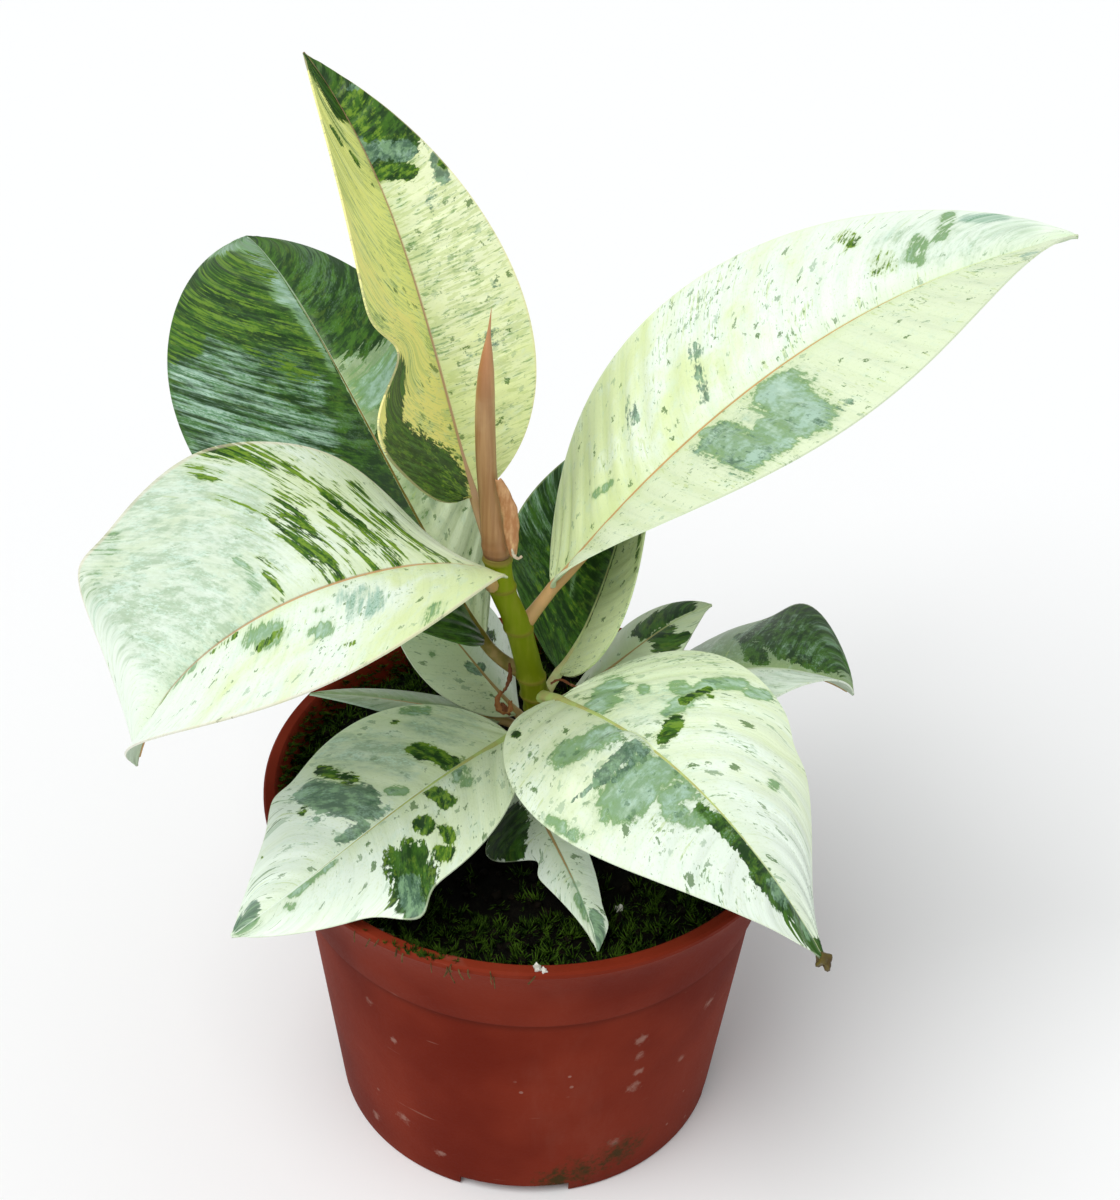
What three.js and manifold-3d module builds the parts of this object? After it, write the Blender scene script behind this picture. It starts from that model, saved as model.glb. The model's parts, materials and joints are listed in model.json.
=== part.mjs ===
// A young variegated rubber plant (Ficus elastica, the Shivereana form) in a round 12 cm nursery pot.
// Millimetres, +Z up. The origin is on the surface that the pot stands on, under the pot's middle.
// Seen from the front (looking along +Y), +X is to the right.
import * as THREE from 'three';
import { mergeVertices } from 'three/addons/utils/BufferGeometryUtils.js';
import Module from 'manifold-3d';

const wasm = await Module();
wasm.setup();

// Pot: a thin-walled moulded cone with a flared collar above a small ledge
const potHeight = 88;
const rimRadius = 60;
const lipWidth = 3;
const lipDepth = 1.6;
const baseRadius = 45;
const ledgeHeight = 65;
const ledgeRadius = 52.2;
const collarFlare = [[65.5, 53.2], [71, 53.8], [77, 55], [82, 56.8], [85.6, 59.2]]; // [height, radius]
const wall = 1.6;
const potSides = 40;

// Underside: a foot ring and a middle pad stand on the surface, with a raised drained channel between
const padRadius = 22;
const footWidth = 4;
const footHeight = 3;
const notchCount = 4;
const notchWidth = 25;
const firstNotchAngle = -92;
const drainCount = 8;
const drainRadius = 4;
const drainCircleRadius = 32;

// Soil: fills the pot to just under the lip, with a plain hole for the stem
const soilLevel = 81;
const soilLumpHeight = 0.6;
const soilDish = { depth: 1.2, reach: 30 };
const soilRings = [47, 39, 31, 23, 15];
const stemHoleDepth = 22;
const gap = 0.3;

// Stem: rises from the soil near the middle of the pot and leans to the left as it climbs
const stemFoot = { x: 5, y: 4, z: 78 };
const stemTop = 146;
const stemLean = 0.14;
const stemLeanGrowth = 0.0009;
const stemKink = { height: 137.5, shift: 1.3, reach: 6.5 }; // a bow to the left under the bud
const stemFootRadius = 3.3;
const stemTopRadius = 3.05;
const nodeSwelling = 0.25;
const nodeSwellingReach = 1.4;

// Terminal bud: the long pointed sheath at the top of the stem, as [height above the stem, radius]
const budOutline = [
  [0, 2.9], [2, 2.85], [6.5, 2.6], [14, 2.15], [24, 2.15], [33, 2.05], [39, 1.9], [44, 1.6], [48, 1.1],
  [51, 0.6], [53.7, 0.3],
];
const budBow = { lean: 0.15, back: 0.0021 };

// Dried sheath of the last leaf: a thin cupped strip that curls up beside the foot of the bud
const stipulePath = [[-5.2, 1.5, 147.3], [-5.1, 1.4, 152], [-5.2, 1.4, 157], [-6.4, 1.4, 162], [-8, 1.2, 166.5]];
const stipuleSection = [[-0.35, -1.5], [0.25, -1.2], [0.35, 0], [0.25, 1.2], [-0.35, 1.5], [-0.3, 0]];
const stipuleSteps = 12;

// Leaf blades: 0.8 mm sheets with a thicker midrib underneath that runs on into the stalk
const bladeThickness = 0.8;
const tipHalfWidth = 0.5;
const bladeColumns = 3;
const stalkSteps = 3;
const stalkSweep = 0.45; // how early the stalk turns into the blade's direction

// Each leaf. node: height on the stem where its stalk starts; root: the side that it starts on, if that
// isn't the side that the blade is on; base: where the blade starts;
// heading (0 is +X, 90 is away), pitch above the horizontal and roll about the midrib, in degrees at the
// base, through the middle and at the tip; left and right are the halves on either side of the midrib,
// seen from above and from base to tip. width: widest reach of the half; ends: how bluntly it starts and
// ends (small is blunt); fold: rise of the half from the midrib; curl: how far its margin turns down
// again; bumps: waves of the margin as [place along the blade, share of the width, reach].
const leaves = {
  leaf_1: {
    node: 145, stalkRadius: 1.1, rows: 22, colour: 0xe6e39a,
    base: [-14, 8, 158], length: 96,
    heading: [130, 124, 148], pitch: [63, 70, 40], roll: [-5, 1, -17],
    left: {
      width: 26.8, ends: [0.46, 0.94], fold: [28, 38, 27], curl: [-7, -17, -6],
      bumps: [[0.22, 0.25, 0.11], [0.36, -0.43, 0.06]],
    },
    right: { width: 20.8, ends: [0.61, 1.15], fold: [17, 23, 21], curl: [5, -1, 1], bumps: [] },
  },
  leaf_2: {
    node: 114, stalkRadius: 1.4, rows: 18, colour: 0x3f6a3a,
    base: [-12, 10, 119], length: 119,
    heading: [154, 118, 118], pitch: [57, 46, -12], roll: [12, -4, -1],
    left: { width: 41.2, ends: [0.56, 0.77], fold: [34, 8, 18], curl: [15, 39, 31], bumps: [] },
    right: { width: 27.1, ends: [0.58, 0.9], fold: [10, 10, 14], curl: [25, 25, 21], bumps: [] },
  },
  leaf_3: {
    node: 138, root: 235, sweep: 0.1, stalkRadius: 1.2, rows: 22, colour: 0xcfe0c4,
    base: [-7, -2, 145], length: 105,
    heading: [221, 198, 175], pitch: [42, -24, -79], roll: [41, -48, 10],
    left: {
      width: 29.2, ends: [0.63, 0.95], fold: [20, 9, 21], curl: [0, 11, -1],
      bumps: [[0, -0.97, 0.12]],
    },
    right: {
      width: 33, ends: [1.15, 0.94], fold: [15, 48, 34], curl: [14, -18, -5],
      bumps: [[0.51, 0.04, 0.08], [0.79, 0.22, 0.07]],
    },
  },
  leaf_4: {
    node: 127, stalkRadius: 1.4, rows: 18, colour: 0xdde8cc,
    base: [3, 8, 135], length: 138,
    heading: [19, 41, 7], pitch: [55, 21, 10], roll: [-21, 15, -8],
    left: { width: 32.4, ends: [0.56, 0.79], fold: [21, 18, 26], curl: [16, 20, 12], bumps: [] },
    right: { width: 33.7, ends: [0.69, 0.75], fold: [25, 6, 27], curl: [0, 19, -2], bumps: [] },
  },
  leaf_5: {
    node: 105, stalkRadius: 1.2, rows: 14, colour: 0x6f8f55,
    base: [5, 12, 109], length: 63,
    heading: [31, 66, 62], pitch: [50, 76, 51], roll: [-5, -13, -20],
    left: { width: 25.7, ends: [0.55, 0.92], fold: [17, 25, 19], curl: [15, 6, 13], bumps: [] },
    right: { width: 20.5, ends: [0.56, 0.89], fold: [25, 37, 36], curl: [9, -3, -2], bumps: [] },
  },
  leaf_6: {
    node: 109, stalkRadius: 1.3, rows: 18, colour: 0xd8e6cf,
    base: [5, -3, 113], length: 89,
    heading: [-49, -54, -44], pitch: [22, -1, -48], roll: [-1, 23, -27],
    left: {
      width: 29.7, ends: [0.56, 1.08], fold: [18, 8, 1], curl: [12, 22, 29],
      bumps: [[0.54, -0.05, 0.05]],
    },
    right: { width: 29.5, ends: [0.53, 1.03], fold: [18, -1, 12], curl: [12, 30, 18], bumps: [] },
  },
  leaf_7: {
    node: 101, stalkRadius: 1.2, rows: 20, colour: 0xccdcc0,
    base: [-5, -5, 104], length: 74,
    heading: [217, 226, 209], pitch: [-3, -20, -25], roll: [2, -7, 0],
    left: {
      width: 22.2, ends: [0.63, 0.94], fold: [18, 10, 9], curl: [13, 20, 21],
      bumps: [[0.59, 0.29, 0.06]],
    },
    right: {
      width: 23.5, ends: [0.6, 0.94], fold: [19, 15, 11], curl: [12, 15, 20],
      bumps: [[0.67, 0.13, 0.06]],
    },
  },
  leaf_8: {
    node: 95, stalkRadius: 1.1, rows: 12, colour: 0xb9c8ad,
    base: [-4, 9, 99], length: 48,
    heading: [152, 129, 149], pitch: [36, 36, 6], roll: [12, -1, 11],
    left: { width: 14.1, ends: [0.66, 0.92], fold: [11, 7, 21], curl: [31, 29, 10], bumps: [] },
    right: { width: 17.2, ends: [0.6, 0.83], fold: [-5, 5, 8], curl: [33, 22, 20], bumps: [] },
  },
  leaf_9: {
    node: 91, stalkRadius: 1.1, rows: 12, colour: 0xb9c4b1,
    base: [-8, 9, 97], length: 43,
    heading: [182, 176, 182], pitch: [13, 12, -3], roll: [6, 11, 12],
    left: { width: 8.9, ends: [0.59, 0.88], fold: [8, 11, 15], curl: [12, 9, 5], bumps: [] },
    right: { width: 9.4, ends: [0.6, 0.85], fold: [-3, -5, -3], curl: [21, 23, 21], bumps: [] },
  },
  leaf_10: {
    node: 101, stalkRadius: 1.1, rows: 12, colour: 0x9fb095,
    base: [7, 9, 104], length: 40,
    heading: [22, 49, 26], pitch: [24, 27, 1], roll: [-9, -5, 0],
    left: { width: 11.5, ends: [0.62, 0.75], fold: [-10, -6, 5], curl: [34, 31, 19], bumps: [] },
    right: { width: 12, ends: [0.58, 1.06], fold: [10, 6, 15], curl: [20, 23, 15], bumps: [] },
  },
  leaf_11: {
    node: 97, stalkRadius: 1.1, rows: 20, colour: 0x5d7d68,
    base: [8, 7, 101], length: 66,
    heading: [9, 10, -5], pitch: [12, 38, -40], roll: [-18, -11, -23],
    left: {
      width: 27.1, ends: [0.67, 0.68], fold: [-1, 5, 37], curl: [51, 45, 13],
      bumps: [[0.87, 0.67, 0.1]],
    },
    right: { width: 22.1, ends: [0.61, 0.92], fold: [-6, -11, 27], curl: [26, 31, -7], bumps: [] },
  },
  leaf_12: {
    node: 86, stalkRadius: 1.1, rows: 20, colour: 0xb4c6a4,
    base: [-1, -1, 89], length: 51,
    heading: [-84, -56, -74], pitch: [6, 3, -30], roll: [11, 8, -5],
    left: {
      width: 6.2, ends: [0.49, 0.73], fold: [5, 2, 2], curl: [15, 18, 18],
      bumps: [[0.91, 0.51, 0.06]],
    },
    right: {
      width: 10.1, ends: [0.31, 1.13], fold: [-6, -6, 9], curl: [31, 31, 16],
      bumps: [[0.33, 0.51, 0.13], [0.5, -0.43, 0.06]],
    },
  },
};

const radians = THREE.MathUtils.degToRad;
const onCircle = (radius, degrees, z) =>
  new THREE.Vector3(radius * Math.cos(radians(degrees)), radius * Math.sin(radians(degrees)), z);

function mesh(name, geometry, colour, roughness) {
  const material = new THREE.MeshStandardMaterial({ color: colour, roughness, metalness: 0 });
  const node = new THREE.Mesh(geometry, material);
  node.name = name;
  return node;
}

// A [radius, height] outline that starts and ends on the vertical axis, turned about that axis
function turned(outline, sides) {
  const geometry = new THREE.LatheGeometry(outline.map(([r, z]) => new THREE.Vector2(r, z)), sides);
  return geometry.rotateX(Math.PI / 2);
}

function positionsOnly(geometry) {
  const bare = geometry.clone();
  bare.deleteAttribute('normal');
  bare.deleteAttribute('uv');
  return mergeVertices(bare, 1e-4);
}

function toSolid(geometry) {
  const bare = positionsOnly(geometry);
  return new wasm.Manifold(new wasm.Mesh({
    numProp: 3,
    vertProperties: new Float32Array(bare.attributes.position.array),
    triVerts: new Uint32Array(bare.index.array),
  }));
}

function toGeometry(solid) {
  const cut = solid.getMesh();
  const geometry = new THREE.BufferGeometry();
  geometry.setAttribute('position', new THREE.BufferAttribute(cut.vertProperties, 3));
  geometry.setIndex(new THREE.BufferAttribute(cut.triVerts, 1));
  geometry.computeVertexNormals();
  return geometry;
}

// Outer radius of the pot's side at a height
function potRadius(z) {
  const stations = [[0, baseRadius], [ledgeHeight, ledgeRadius], ...collarFlare];
  const next = Math.max(1, stations.findIndex(([height]) => height >= z));
  const [[z0, r0], [z1, r1]] = stations.slice(next - 1, next + 1);
  return THREE.MathUtils.mapLinear(z, z0, z1, r0, r1);
}

function makePot() {
  const channelTop = footHeight + wall;
  const inside = (z) => [potRadius(z) - wall, z];
  const outline = [
    [0, 0], [padRadius, 0], [padRadius + 2, footHeight],
    [baseRadius - footWidth - 1.5, footHeight], [baseRadius - footWidth, 0], [baseRadius, 0],
    [ledgeRadius, ledgeHeight], ...collarFlare.map(([z, r]) => [r, z]),
    [rimRadius, potHeight - lipDepth], [rimRadius - 0.3, potHeight], [rimRadius - lipWidth, potHeight],
    [rimRadius - lipWidth - 0.6, potHeight - lipDepth], inside(82), inside(77), inside(71),
    inside(ledgeHeight + 1.5), inside(ledgeHeight - 1), inside(channelTop),
    [padRadius + 2 + wall, channelTop], [padRadius + wall, wall], [0, wall],
  ];
  let pot = toSolid(turned(outline, potSides));
  for (let i = 0; i < notchCount; i++) {
    const turn = radians(firstNotchAngle + (360 / notchCount) * i);
    const notch = new THREE.BoxGeometry(footWidth * 3, notchWidth, footHeight * 2);
    notch.translate(baseRadius, 0, 0).rotateZ(turn);
    pot = pot.subtract(toSolid(notch));
  }
  for (let i = 0; i < drainCount; i++) {
    const drain = new THREE.CylinderGeometry(drainRadius, drainRadius, footHeight * 4, 10);
    const place = onCircle(drainCircleRadius, (360 / drainCount) * i, footHeight);
    drain.rotateX(Math.PI / 2).translate(place.x, place.y, place.z);
    pot = pot.subtract(toSolid(drain));
  }
  return mesh('pot', toGeometry(pot), 0x8a3424, 0.55);
}

// Height of the soil: low lumps on a surface that is pressed down a little round the stem
function soilSurface(x, y) {
  const broad = Math.sin(x * 0.21 + 1.3) * Math.cos(y * 0.17 - 0.4);
  const fine = 0.5 * Math.sin(x * 0.53 - y * 0.47);
  const dish = soilDish.depth * Math.exp(-(x * x + y * y) / soilDish.reach ** 2);
  return soilLevel + soilLumpHeight * (broad + fine) - dish;
}

function makeSoil() {
  const atWall = (z) => [potRadius(z) - wall - gap, z];
  const floor = footHeight + wall + gap;
  const outline = [
    [0, wall + gap], [padRadius + wall - gap, wall + gap], [padRadius + 2 + wall, floor],
    atWall(floor), atWall(ledgeHeight - 1), atWall(ledgeHeight + 2), atWall(71), atWall(77),
    atWall(soilLevel), ...soilRings.map((radius) => [radius, soilLevel]), [0, soilLevel],
  ];
  const geometry = turned(outline, potSides);
  const place = geometry.attributes.position;
  for (let i = 0; i < place.count; i++) {
    if (place.getZ(i) > soilLevel - 0.01) place.setZ(i, soilSurface(place.getX(i), place.getY(i)));
  }
  const holeRadius = stemFootRadius + gap;
  const holeLength = stemHoleDepth + 10;
  const stemHole = new THREE.CylinderGeometry(holeRadius, holeRadius, holeLength, 16).rotateX(Math.PI / 2);
  stemHole.translate(stemFoot.x, stemFoot.y, stemFoot.z - stemHoleDepth + holeLength / 2);
  return mesh('soil', toGeometry(toSolid(geometry).subtract(toSolid(stemHole))), 0x1d1a12, 0.95);
}

// The middle of the stem at a height; below the soil it stands upright in its hole
function stemMiddle(z) {
  const rise = Math.max(0, z - stemFoot.z);
  const bow = stemKink.shift * Math.exp(-(((z - stemKink.height) / stemKink.reach) ** 2));
  return new THREE.Vector3(stemFoot.x - stemLean * rise - stemLeanGrowth * rise * rise - bow, stemFoot.y, z);
}

const leafNodes = Object.values(leaves).map((leaf) => leaf.node);

// Radius of the stem: it tapers upwards and swells into a ring at each leaf's node
function stemRadius(z) {
  const taper = THREE.MathUtils.mapLinear(z, stemFoot.z, stemTop, stemFootRadius, stemTopRadius);
  const rings = leafNodes.map((node) => Math.exp(-(((z - node) / nodeSwellingReach) ** 2)));
  return z <= stemFoot.z + 1 ? stemFootRadius : taper - nodeSwelling * (1 - Math.max(...rings));
}

// A turned outline whose rings are then shifted sideways along a curved middle line
function bentRod(outline, middle, sides) {
  const geometry = turned(outline, sides);
  const place = geometry.attributes.position;
  for (let i = 0; i < place.count; i++) {
    const centre = middle(place.getZ(i));
    place.setXY(i, place.getX(i) + centre.x, place.getY(i) + centre.y);
  }
  geometry.computeVertexNormals();
  return geometry;
}

function makeStem() {
  const bottom = stemFoot.z - stemHoleDepth + gap;
  const outline = [[0, bottom], [stemFootRadius - 0.6, bottom], [stemFootRadius, bottom + 1]];
  for (let z = stemFoot.z; z <= stemTop; z += 2) outline.push([stemRadius(z), z]);
  outline.push([0, stemTop]);
  return mesh('stem', bentRod(outline, stemMiddle, 12), 0x6f7f2c, 0.5);
}

function budMiddle(z) {
  const rise = z - stemTop;
  const foot = stemMiddle(stemTop);
  return new THREE.Vector3(foot.x - budBow.lean * rise + budBow.back * rise * rise, foot.y, z);
}

function makeBud() {
  const rings = budOutline.map(([height, radius]) => [radius, stemTop + gap + height]);
  const outline = [[0, rings[0][1]], ...rings, [0, rings.at(-1)[1]]];
  return mesh('terminal_bud', bentRod(outline, budMiddle, 12), 0x9a4a34, 0.35);
}

// A value that goes from a at the base, towards b in the middle, to c at the tip
const blend = ([a, b, c], s) => a * (1 - s) ** 2 + 2 * b * s * (1 - s) + c * s * s;

// Directions at one place on a midrib: along it, to its left and out of the upper face
function directions(heading, pitch, roll) {
  const [h, p, r] = [radians(heading), radians(pitch), radians(roll)];
  const along = new THREE.Vector3(Math.cos(p) * Math.cos(h), Math.cos(p) * Math.sin(h), Math.sin(p));
  const level = new THREE.Vector3(-Math.sin(h), Math.cos(h), 0);
  const up = along.clone().cross(level);
  const left = level.multiplyScalar(Math.cos(r)).addScaledVector(up, Math.sin(r));
  return { along, left, up: along.clone().cross(left) };
}

function halfWidth(half, s) {
  const [a, b] = half.ends;
  const widest = a / (a + b);
  const outline = (s ** a * (1 - s) ** b) / (widest ** a * (1 - widest) ** b);
  const wave = ([at, share, reach]) => share * Math.exp(-(((s - at) / reach) ** 2));
  const waves = half.bumps.reduce((sum, bump) => sum + wave(bump), 1);
  return half.width * outline * waves;
}

// One row of points across the blade, from its right margin to its left
function bladeRow(leaf, middle, frame, s) {
  const row = [middle];
  const narrowest = THREE.MathUtils.lerp(leaf.stalkRadius, tipHalfWidth, s);
  for (const [half, side] of [[leaf.left, 1], [leaf.right, -1]]) {
    const step = Math.max(halfWidth(half, s), narrowest) / bladeColumns;
    const reached = middle.clone();
    for (let column = 0; column < bladeColumns; column++) {
      const tilt = radians(blend(half.fold, s) - blend(half.curl, s) * ((column + 0.5) / bladeColumns));
      reached.addScaledVector(frame.left, side * step * Math.cos(tilt));
      reached.addScaledVector(frame.up, step * Math.sin(tilt));
      if (side > 0) row.push(reached.clone());
      else row.unshift(reached.clone());
    }
  }
  return row;
}

// The stalk's start beside the stem, square to the way the stalk sets off
function stalkStart(leaf) {
  const middle = stemMiddle(leaf.node);
  const base = new THREE.Vector3(...leaf.base);
  const away = 'root' in leaf ? onCircle(1, leaf.root, 0) : base.clone().sub(middle).setZ(0).normalize();
  const clear = stemRadius(leaf.node) + nodeSwelling + gap + leaf.stalkRadius * 0.6;
  return middle.addScaledVector(away, clear);
}

// Rows of the whole leaf: a round stalk that curves into the blade, then the blade itself
function leafRows(leaf) {
  const base = new THREE.Vector3(...leaf.base);
  const first = directions(leaf.heading[0], leaf.pitch[0], leaf.roll[0]);
  const start = stalkStart(leaf);
  const sweep = leaf.sweep ?? stalkSweep;
  const bend = base.clone().addScaledVector(first.along, -sweep * start.distanceTo(base));
  const stalk = new THREE.QuadraticBezierCurve3(start, bend, base);
  const rows = [];
  for (let i = 0; i < stalkSteps; i++) {
    const t = i / stalkSteps;
    const along = stalk.getTangent(t);
    const left = first.left.clone().addScaledVector(along, -first.left.dot(along)).normalize();
    const row = [];
    for (let column = -bladeColumns; column <= bladeColumns; column++) {
      row.push(stalk.getPoint(t).addScaledVector(left, (leaf.stalkRadius * column) / bladeColumns));
    }
    rows.push({ row, round: 1 });
  }
  const middle = base.clone();
  let before = first.along;
  for (let i = 0; i <= leaf.rows; i++) {
    const s = i / leaf.rows;
    const frame = directions(blend(leaf.heading, s), blend(leaf.pitch, s), blend(leaf.roll, s));
    if (i > 0) middle.addScaledVector(before.clone().add(frame.along), leaf.length / leaf.rows / 2);
    before = frame.along;
    rows.push({ row: bladeRow(leaf, middle.clone(), frame, s), round: Math.max(0, 1 - s * leaf.rows) });
  }
  return rows;
}

// Thickness of a leaf at one column: round in the stalk, a thin sheet with a midrib in the blade
function leafThickness(leaf, round, column, place) {
  const across = column / bladeColumns;
  const rodThickness = 2 * leaf.stalkRadius * Math.sqrt(1 - across * across);
  const rib = column === 0 ? leaf.stalkRadius * (1 - place) : 0;
  return Math.max(bladeThickness, THREE.MathUtils.lerp(bladeThickness + rib, rodThickness, round));
}

// A closed sheet: both faces are split into the same triangles, with a rim round them
function makeLeafGeometry(leaf) {
  const rows = leafRows(leaf);
  const across = 2 * bladeColumns + 1;
  const faceSize = rows.length * across;
  const rowAt = (i) => rows[THREE.MathUtils.clamp(i, 0, rows.length - 1)].row;
  const columnAt = (row, j) => row[THREE.MathUtils.clamp(j, 0, across - 1)];
  const upper = [];
  const lower = [];
  rows.forEach(({ row, round }, i) => row.forEach((point, j) => {
    const alongRows = rowAt(i + 1)[j].clone().sub(rowAt(i - 1)[j]);
    const alongColumns = columnAt(row, j + 1).clone().sub(columnAt(row, j - 1));
    const normal = alongRows.cross(alongColumns).normalize();
    const thickness = leafThickness(leaf, round, j - bladeColumns, i / rows.length);
    const above = THREE.MathUtils.lerp(bladeThickness / 2, thickness / 2, round);
    upper.push(...point.clone().addScaledVector(normal, above));
    lower.push(...point.clone().addScaledVector(normal, above - thickness));
  }));
  const index = [];
  const quad = (a, b, c, d) => index.push(a, b, c, a, c, d);
  for (let i = 0; i < rows.length - 1; i++) {
    for (let j = 0; j < across - 1; j++) {
      const a = i * across + j;
      const [b, c, d] = [a + across, a + across + 1, a + 1];
      quad(a, b, c, d);
      index.push(a + faceSize, c + faceSize, b + faceSize, a + faceSize, d + faceSize, c + faceSize);
    }
    const [right, rightNext] = [i * across, (i + 1) * across];
    const [left, leftNext] = [right + across - 1, rightNext + across - 1];
    quad(rightNext, right, right + faceSize, rightNext + faceSize);
    quad(left, leftNext, leftNext + faceSize, left + faceSize);
  }
  for (let j = 0; j < across - 1; j++) {
    const end = (rows.length - 1) * across + j;
    quad(j, j + 1, j + 1 + faceSize, j + faceSize);
    quad(end + 1, end, end + faceSize, end + 1 + faceSize);
  }
  const geometry = new THREE.BufferGeometry();
  geometry.setAttribute('position', new THREE.Float32BufferAttribute([...upper, ...lower], 3));
  geometry.setIndex(index);
  geometry.computeVertexNormals();
  return geometry;
}

// The dry papery sheath that the last leaf left behind, curled against the foot of the bud
function makeDriedStipule() {
  const extrudePath = new THREE.CatmullRomCurve3(stipulePath.map((point) => new THREE.Vector3(...point)));
  const section = new THREE.Shape(stipuleSection.map(([x, y]) => new THREE.Vector2(x, y)));
  const settings = { steps: stipuleSteps, bevelEnabled: false, extrudePath };
  return mesh('dried_stipule', new THREE.ExtrudeGeometry(section, settings), 0xb0622c, 0.8);
}

const group = new THREE.Group();
group.add(makePot(), makeSoil(), makeStem(), makeBud(), makeDriedStipule());
for (const [name, leaf] of Object.entries(leaves)) {
  group.add(mesh(name, makeLeafGeometry(leaf), leaf.colour, 0.4));
}

export default group;
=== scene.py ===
import json
import math
import random

import bmesh
import bpy
from mathutils import Matrix, Vector, geometry, noise


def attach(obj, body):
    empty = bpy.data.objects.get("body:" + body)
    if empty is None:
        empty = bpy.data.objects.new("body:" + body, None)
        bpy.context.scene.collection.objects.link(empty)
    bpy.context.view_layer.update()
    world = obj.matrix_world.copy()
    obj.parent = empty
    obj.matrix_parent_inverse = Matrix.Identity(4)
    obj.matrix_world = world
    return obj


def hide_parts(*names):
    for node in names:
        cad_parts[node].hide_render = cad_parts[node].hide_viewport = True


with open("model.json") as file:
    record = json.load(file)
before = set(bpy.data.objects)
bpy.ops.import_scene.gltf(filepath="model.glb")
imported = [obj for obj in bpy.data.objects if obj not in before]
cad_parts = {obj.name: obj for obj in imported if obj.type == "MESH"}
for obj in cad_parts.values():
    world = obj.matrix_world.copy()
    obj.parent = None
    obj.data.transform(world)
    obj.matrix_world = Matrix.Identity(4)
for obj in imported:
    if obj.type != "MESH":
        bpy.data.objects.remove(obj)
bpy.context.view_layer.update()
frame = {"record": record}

# A variegated rubber plant in a round nursery pot. Lengths are millimetres until a piece is finished.
mm = 0.001
scene = bpy.context.scene
scene.view_settings.view_transform = "Standard"


class Link:  # a socket that can be used in an expression
    def __init__(self, shade, socket):
        self.shade = shade
        self.socket = socket

    def maths(self, operation, first, second=0.0):
        return self.shade.node("ShaderNodeMath", {"operation": operation}, {0: first, 1: second})

    def __add__(self, other):
        return self.maths("ADD", self, other)

    def __radd__(self, other):
        return self.maths("ADD", other, self)

    def __sub__(self, other):
        return self.maths("SUBTRACT", self, other)

    def __rsub__(self, other):
        return self.maths("SUBTRACT", other, self)

    def __mul__(self, other):
        return self.maths("MULTIPLY", self, other)

    def __rmul__(self, other):
        return self.maths("MULTIPLY", other, self)

    def sine(self):
        return self.maths("SINE", self)

    def __abs__(self):
        return self.maths("ABSOLUTE", self)


class Shade:  # one material and its nodes
    def __init__(self, name):
        self.material = bpy.data.materials.new(name)
        self.material.use_nodes = True
        self.tree = self.material.node_tree
        self.tree.nodes.clear()

    def node(self, kind, settings, sockets, output=0):
        made = self.tree.nodes.new(kind)
        for name, value in settings.items():
            setattr(made, name, value)
        for name, value in sockets.items():
            if isinstance(value, Link):
                self.tree.links.new(value.socket, made.inputs[name])
            else:
                made.inputs[name].default_value = value
        return Link(self, made.outputs[output]) if made.outputs else None

    def attribute(self, name, output="Vector"):
        return self.node("ShaderNodeAttribute", {"attribute_name": name}, {}, output)

    def place(self):
        return self.node("ShaderNodeTexCoord", {}, {}, "Object")

    def split(self, vector):
        return [self.node("ShaderNodeSeparateXYZ", {}, {0: vector}, axis) for axis in range(3)]

    def join(self, x, y, z):
        return self.node("ShaderNodeCombineXYZ", {}, {0: x, 1: y, 2: z})

    def noise(self, vector, scale, detail=3.0, roughness=0.55, warp=0.0):
        sockets = {"Vector": vector, "Scale": scale, "Detail": detail, "Roughness": roughness}
        return self.node("ShaderNodeTexNoise", {}, {**sockets, "Distortion": warp})

    def step(self, value, low, high):  # 0 below low, 1 above high, smooth between
        sockets = {"Value": value, "From Min": low, "From Max": high}
        return self.node("ShaderNodeMapRange", {"interpolation_type": "SMOOTHSTEP"}, sockets)

    def mix(self, share, first, second):
        first = first if isinstance(first, Link) else (*first, 1)
        second = second if isinstance(second, Link) else (*second, 1)
        return self.node("ShaderNodeMix", {"data_type": "RGBA"}, {0: share, 6: first, 7: second}, 2)

    def lay(self, under, over, value, low, high, share=1.0):  # over covers under where value is high
        return self.mix(self.step(value, low, high) * share, under, over)

    def finish(self, colour, roughness, bump=None, bumpDepth=0.1, **extra):
        sockets = {"Base Color": colour, "Roughness": roughness}
        if bump:
            relief = {"Distance": bumpDepth * mm, "Height": bump}
            sockets["Normal"] = self.node("ShaderNodeBump", {}, relief)
        for name, value in extra.items():
            sockets[name.replace("_", " ")] = value
        surface = self.node("ShaderNodeBsdfPrincipled", {}, sockets)
        self.node("ShaderNodeOutputMaterial", {}, {"Surface": surface})
        return self.material


def addPiece(name, bm, materials, nodes=(), sharpAngle=40):
    bmesh.ops.scale(bm, vec=(mm, mm, mm), verts=bm.verts)
    mesh = bpy.data.meshes.new(name)
    bm.to_mesh(mesh)
    bm.free()
    for material in materials:
        mesh.materials.append(material)
    mesh.shade_smooth()
    mesh.set_sharp_from_angle(angle=math.radians(sharpAngle))
    piece = bpy.data.objects.new(name, mesh)
    scene.collection.objects.link(piece)
    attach(piece, "root")
    if nodes:
        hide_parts(*nodes)
    return piece


def settle(piece):  # turns the piece's modifiers into its mesh
    graph = bpy.context.evaluated_depsgraph_get()
    old = piece.data
    mesh = bpy.data.meshes.new_from_object(piece.evaluated_get(graph))
    piece.modifiers.clear()
    piece.data = mesh
    bpy.data.meshes.remove(old)


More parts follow.
